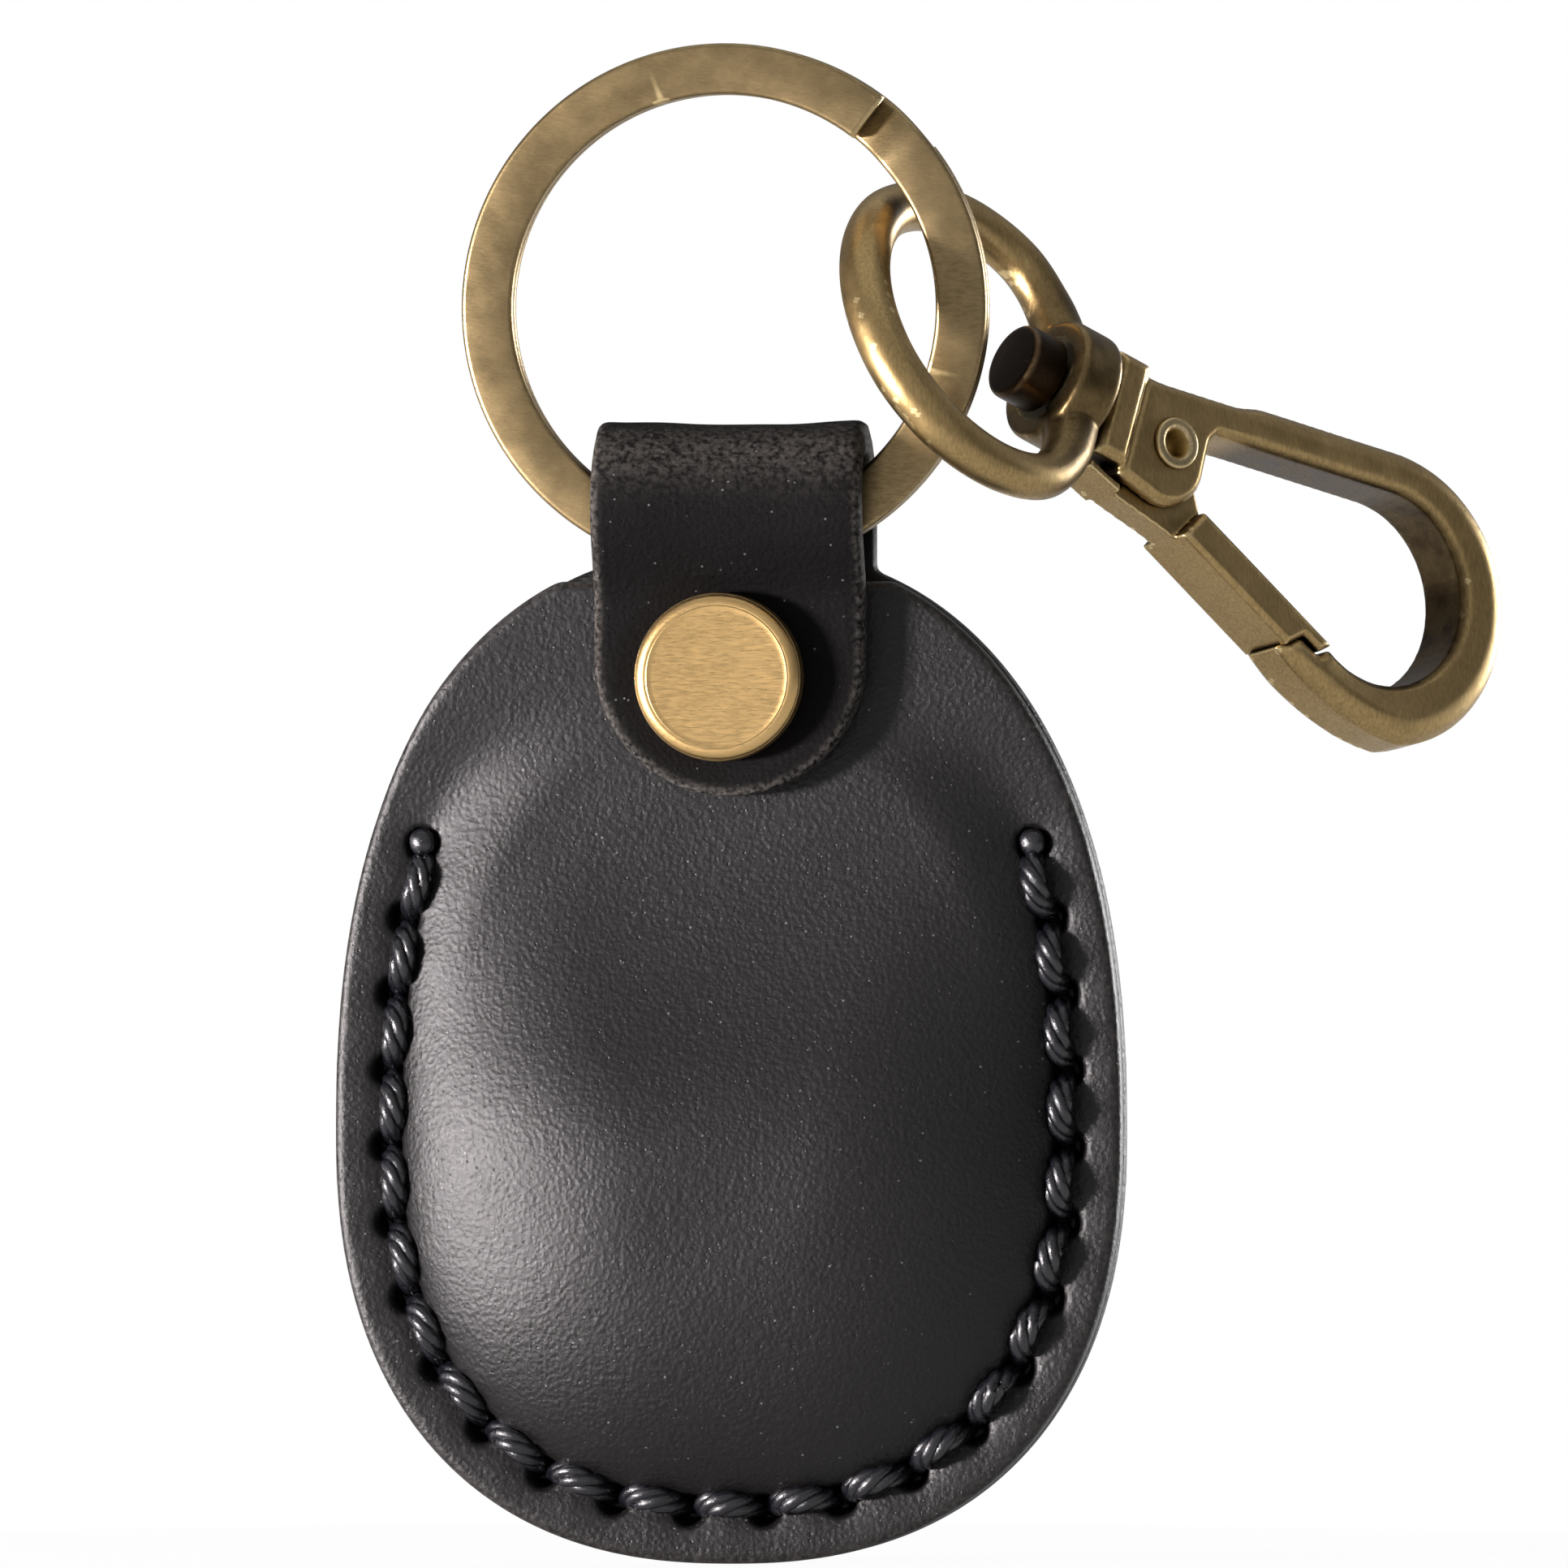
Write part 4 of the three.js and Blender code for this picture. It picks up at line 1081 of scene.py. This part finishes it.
# The dark of the brass: streaks and patina, and painted shade in the recesses.
PATINA_AND_SHADE_DARK = colour(0.03, 0.018, 0.008)
RUBBED = colour(0.71, 0.56, 0.29)
cast_brass = antique_look("antique_brass", PATINA_AND_SHADE_DARK, colour(0.44, 0.31, 0.135), RUBBED, 0.33, (1.0, 1.0, 0.25))
ring_brass = antique_look("brushed_antique_brass", PATINA_AND_SHADE_DARK, colour(0.34, 0.25, 0.125), RUBBED, 0.34,
                          (0.3, 1.0, 1.0), 0.51, 0.6)
# Painted shade: the pin's brass is made very dark for the deep shade inside the bail.
shade_darkened_pin_brass = antique_look("shade_darkened_antique_brass", colour(0.006, 0.004, 0.002), colour(0.025, 0.015, 0.008),
                         colour(0.2, 0.13, 0.07), 0.36, (1.0, 1.0, 1.0))
# Its near-black recess colour paints shade into the pivot's bore.
rivet_brass = antique_look("burnished_brass", colour(0.012, 0.007, 0.003), colour(0.55, 0.43, 0.24),
                           RUBBED, 0.3, (1.0, 1.0, 1.0))
steel = steel_look()

place(front_leather(), "pocket", smooth_leather, "leather", "front_panel")
back = back_leather()
place(back, None, strap_leather, "leather", "back_panel", "strap_flap")
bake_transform(back)
place(stitch_thread(), "pocket", thread, "thread", "stitch_thread")
place(rivet_cap(), "cap", satin_brass, "polished_brass", "rivet_cap")
place(rivet_screw(), "screw", satin_brass, "polished_brass", "rivet_screw")
place(key_ring(), "ring", ring_brass, "antique_brass", "key_ring")
place(swivel_bail(), "bail", cast_brass, "antique_brass", "swivel_bail")
place(swivel_pin(), "hook", shade_darkened_pin_brass, "dark_brass", "swivel_pin")
place(hook_body(), "hook", cast_brass, "antique_brass", "hook_body")
place(hook_gate(), "gate", cast_brass, "antique_brass", "hook_gate")
place(gate_pivot(), "hook", rivet_brass, "rivet_brass", "gate_pivot")
place(gate_spring(), "hook", steel, "spring_steel", "gate_spring")


# ---------------------------------------------------------------- floor, light and camera

def floor_look():
    """Pale floor that fades into the white behind it, as a studio sweep does."""
    look = Look("pale_floor")
    look.set(Base_Color=colour(0.93, 0.93, 0.93), Roughness=0.85,
             Normal=look.bump(look.noise(0.4, 2.0), 0.01, 0.3))
    away = look.add("ShaderNodeVectorMath", Vector=look.mm)
    away.operation = "LENGTH"
    fade = look.span(away.outputs["Value"], 25, 90)
    glow = look.add("ShaderNodeEmission", Color=colour(1, 1, 1))
    seen = look.math("MAXIMUM", fade, 0.95)
    camera_only = look.math("MULTIPLY", seen, look.add("ShaderNodeLightPath").outputs["Is Camera Ray"])
    mix = look.add("ShaderNodeMixShader", Fac=camera_only)
    look.put(mix.inputs[1], look.shader.outputs[0])
    look.put(mix.inputs[2], glow.outputs[0])
    look.put(look.tree.nodes["Material Output"].inputs["Surface"], mix.outputs[0])
    return look.material


def floor():
    half = 1.2
    points = np.array([[-half, -half, 0], [half, -half, 0], [half, half, 0], [-half, half, 0]]) / MM
    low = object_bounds()[0].z / MM
    piece = new_object("studio_floor", points + [0, 0, low - 0.05], [[0, 1, 2, 3]], smooth=False)
    piece.data.materials.append(floor_look())


def area_light(name, where, target, size, watts, tint=(1.0, 1.0, 1.0)):
    data = bpy.data.lights.new(name, "AREA")
    data.shape = "RECTANGLE"
    data.size, data.size_y = size
    data.energy = watts
    data.color = tint
    light = bpy.data.objects.new(name, data)
    bpy.context.scene.collection.objects.link(light)
    light.location = where
    light.rotation_euler = (Vector(target) - Vector(where)).to_track_quat("-Z", "Y").to_euler()


CARD_DIRECTION = (-0.3, -0.92, 0.22)  # soft white card beside the camera, for the metal to mirror
CARD_BRIGHTNESS = 0.25


def studio_world():
    """White behind the object. What the metal mirrors is a softer grey dome, darker below."""
    world = bpy.data.worlds.new("studio")
    bpy.context.scene.world = world
    world.use_nodes = True
    tree = world.node_tree
    nodes, links = tree.nodes, tree.links
    nodes.clear()
    out = nodes.new("ShaderNodeOutputWorld")
    mix = nodes.new("ShaderNodeMixShader")
    path = nodes.new("ShaderNodeLightPath")
    seen = nodes.new("ShaderNodeBackground")
    seen.inputs["Color"].default_value = (1, 1, 1, 1)
    lit = nodes.new("ShaderNodeBackground")
    ramp = nodes.new("ShaderNodeValToRGB")
    ramp.color_ramp.elements[0].position = 0.35
    ramp.color_ramp.elements[0].color = (0.05, 0.046, 0.044, 1)
    ramp.color_ramp.elements[1].position = 0.85
    ramp.color_ramp.elements[1].color = (0.3, 0.3, 0.31, 1)
    where = nodes.new("ShaderNodeTexCoord")
    split = nodes.new("ShaderNodeSeparateXYZ")
    lift = nodes.new("ShaderNodeMapRange")
    lift.inputs["From Min"].default_value = -1
    links.new(where.outputs["Generated"], split.inputs[0])
    links.new(split.outputs["Z"], lift.inputs["Value"])
    links.new(lift.outputs["Result"], ramp.inputs["Fac"])
    facing = nodes.new("ShaderNodeVectorMath")
    facing.operation = "DOT_PRODUCT"
    facing.inputs[1].default_value = Vector(CARD_DIRECTION).normalized()
    links.new(where.outputs["Generated"], facing.inputs[0])
    card = nodes.new("ShaderNodeMapRange")
    card.interpolation_type = "SMOOTHSTEP"
    card.inputs["From Min"].default_value = 0.55
    card.inputs["From Max"].default_value = 0.97
    card.inputs["To Max"].default_value = CARD_BRIGHTNESS
    links.new(facing.outputs["Value"], card.inputs["Value"])
    total = nodes.new("ShaderNodeVectorMath")
    links.new(ramp.outputs["Color"], total.inputs[0])
    links.new(card.outputs["Result"], total.inputs[1])
    links.new(total.outputs["Vector"], lit.inputs["Color"])
    links.new(path.outputs["Is Camera Ray"], mix.inputs["Fac"])
    links.new(lit.outputs[0], mix.inputs[1])
    links.new(seen.outputs[0], mix.inputs[2])
    links.new(mix.outputs[0], out.inputs["Surface"])


CAMERA_AZIMUTH = math.radians(7)
CAMERA_DISTANCE = 1.5
SEEN_WIDTH = 0.0952  # width of the view at the pocket
VIEW_CENTRE = (2.95, 21.04)  # to the right and up from the part's origin, millimetres


def camera():
    data = bpy.data.cameras.new("camera")
    data.sensor_width = 36
    data.lens = data.sensor_width * CAMERA_DISTANCE / SEEN_WIDTH
    data.clip_start, data.clip_end = 0.01, 20
    view = bpy.data.objects.new("camera", data)
    bpy.context.scene.collection.objects.link(view)
    right = Vector((math.cos(CAMERA_AZIMUTH), math.sin(CAMERA_AZIMUTH), 0))
    back_off = Vector((math.sin(CAMERA_AZIMUTH), -math.cos(CAMERA_AZIMUTH), 0))
    target = right * VIEW_CENTRE[0] * MM + Vector((0, 0, VIEW_CENTRE[1] * MM))
    view.location = target + back_off * CAMERA_DISTANCE
    view.rotation_euler = (-back_off).to_track_quat("-Z", "Y").to_euler()
    bpy.context.scene.camera = view


floor()
studio_world()
middle_of_part = (0.005, 0, 0.02)
area_light("key", (-0.43, -0.31, -0.015), middle_of_part, (0.1, 0.1), 15.5, (1.0, 0.935, 0.94))
area_light("fill", (0.35, -0.55, 0.35), middle_of_part, (0.6, 0.6), 0.25)
area_light("top", (0.0, 0.1, 0.7), middle_of_part, (0.8, 0.8), 1.0)
area_light("back", (0.5, 0.5, 0.02), middle_of_part, (0.35, 0.35), 7.0)
camera()
bpy.context.scene.view_settings.view_transform = "Standard"
bpy.context.scene.view_settings.look = "None"
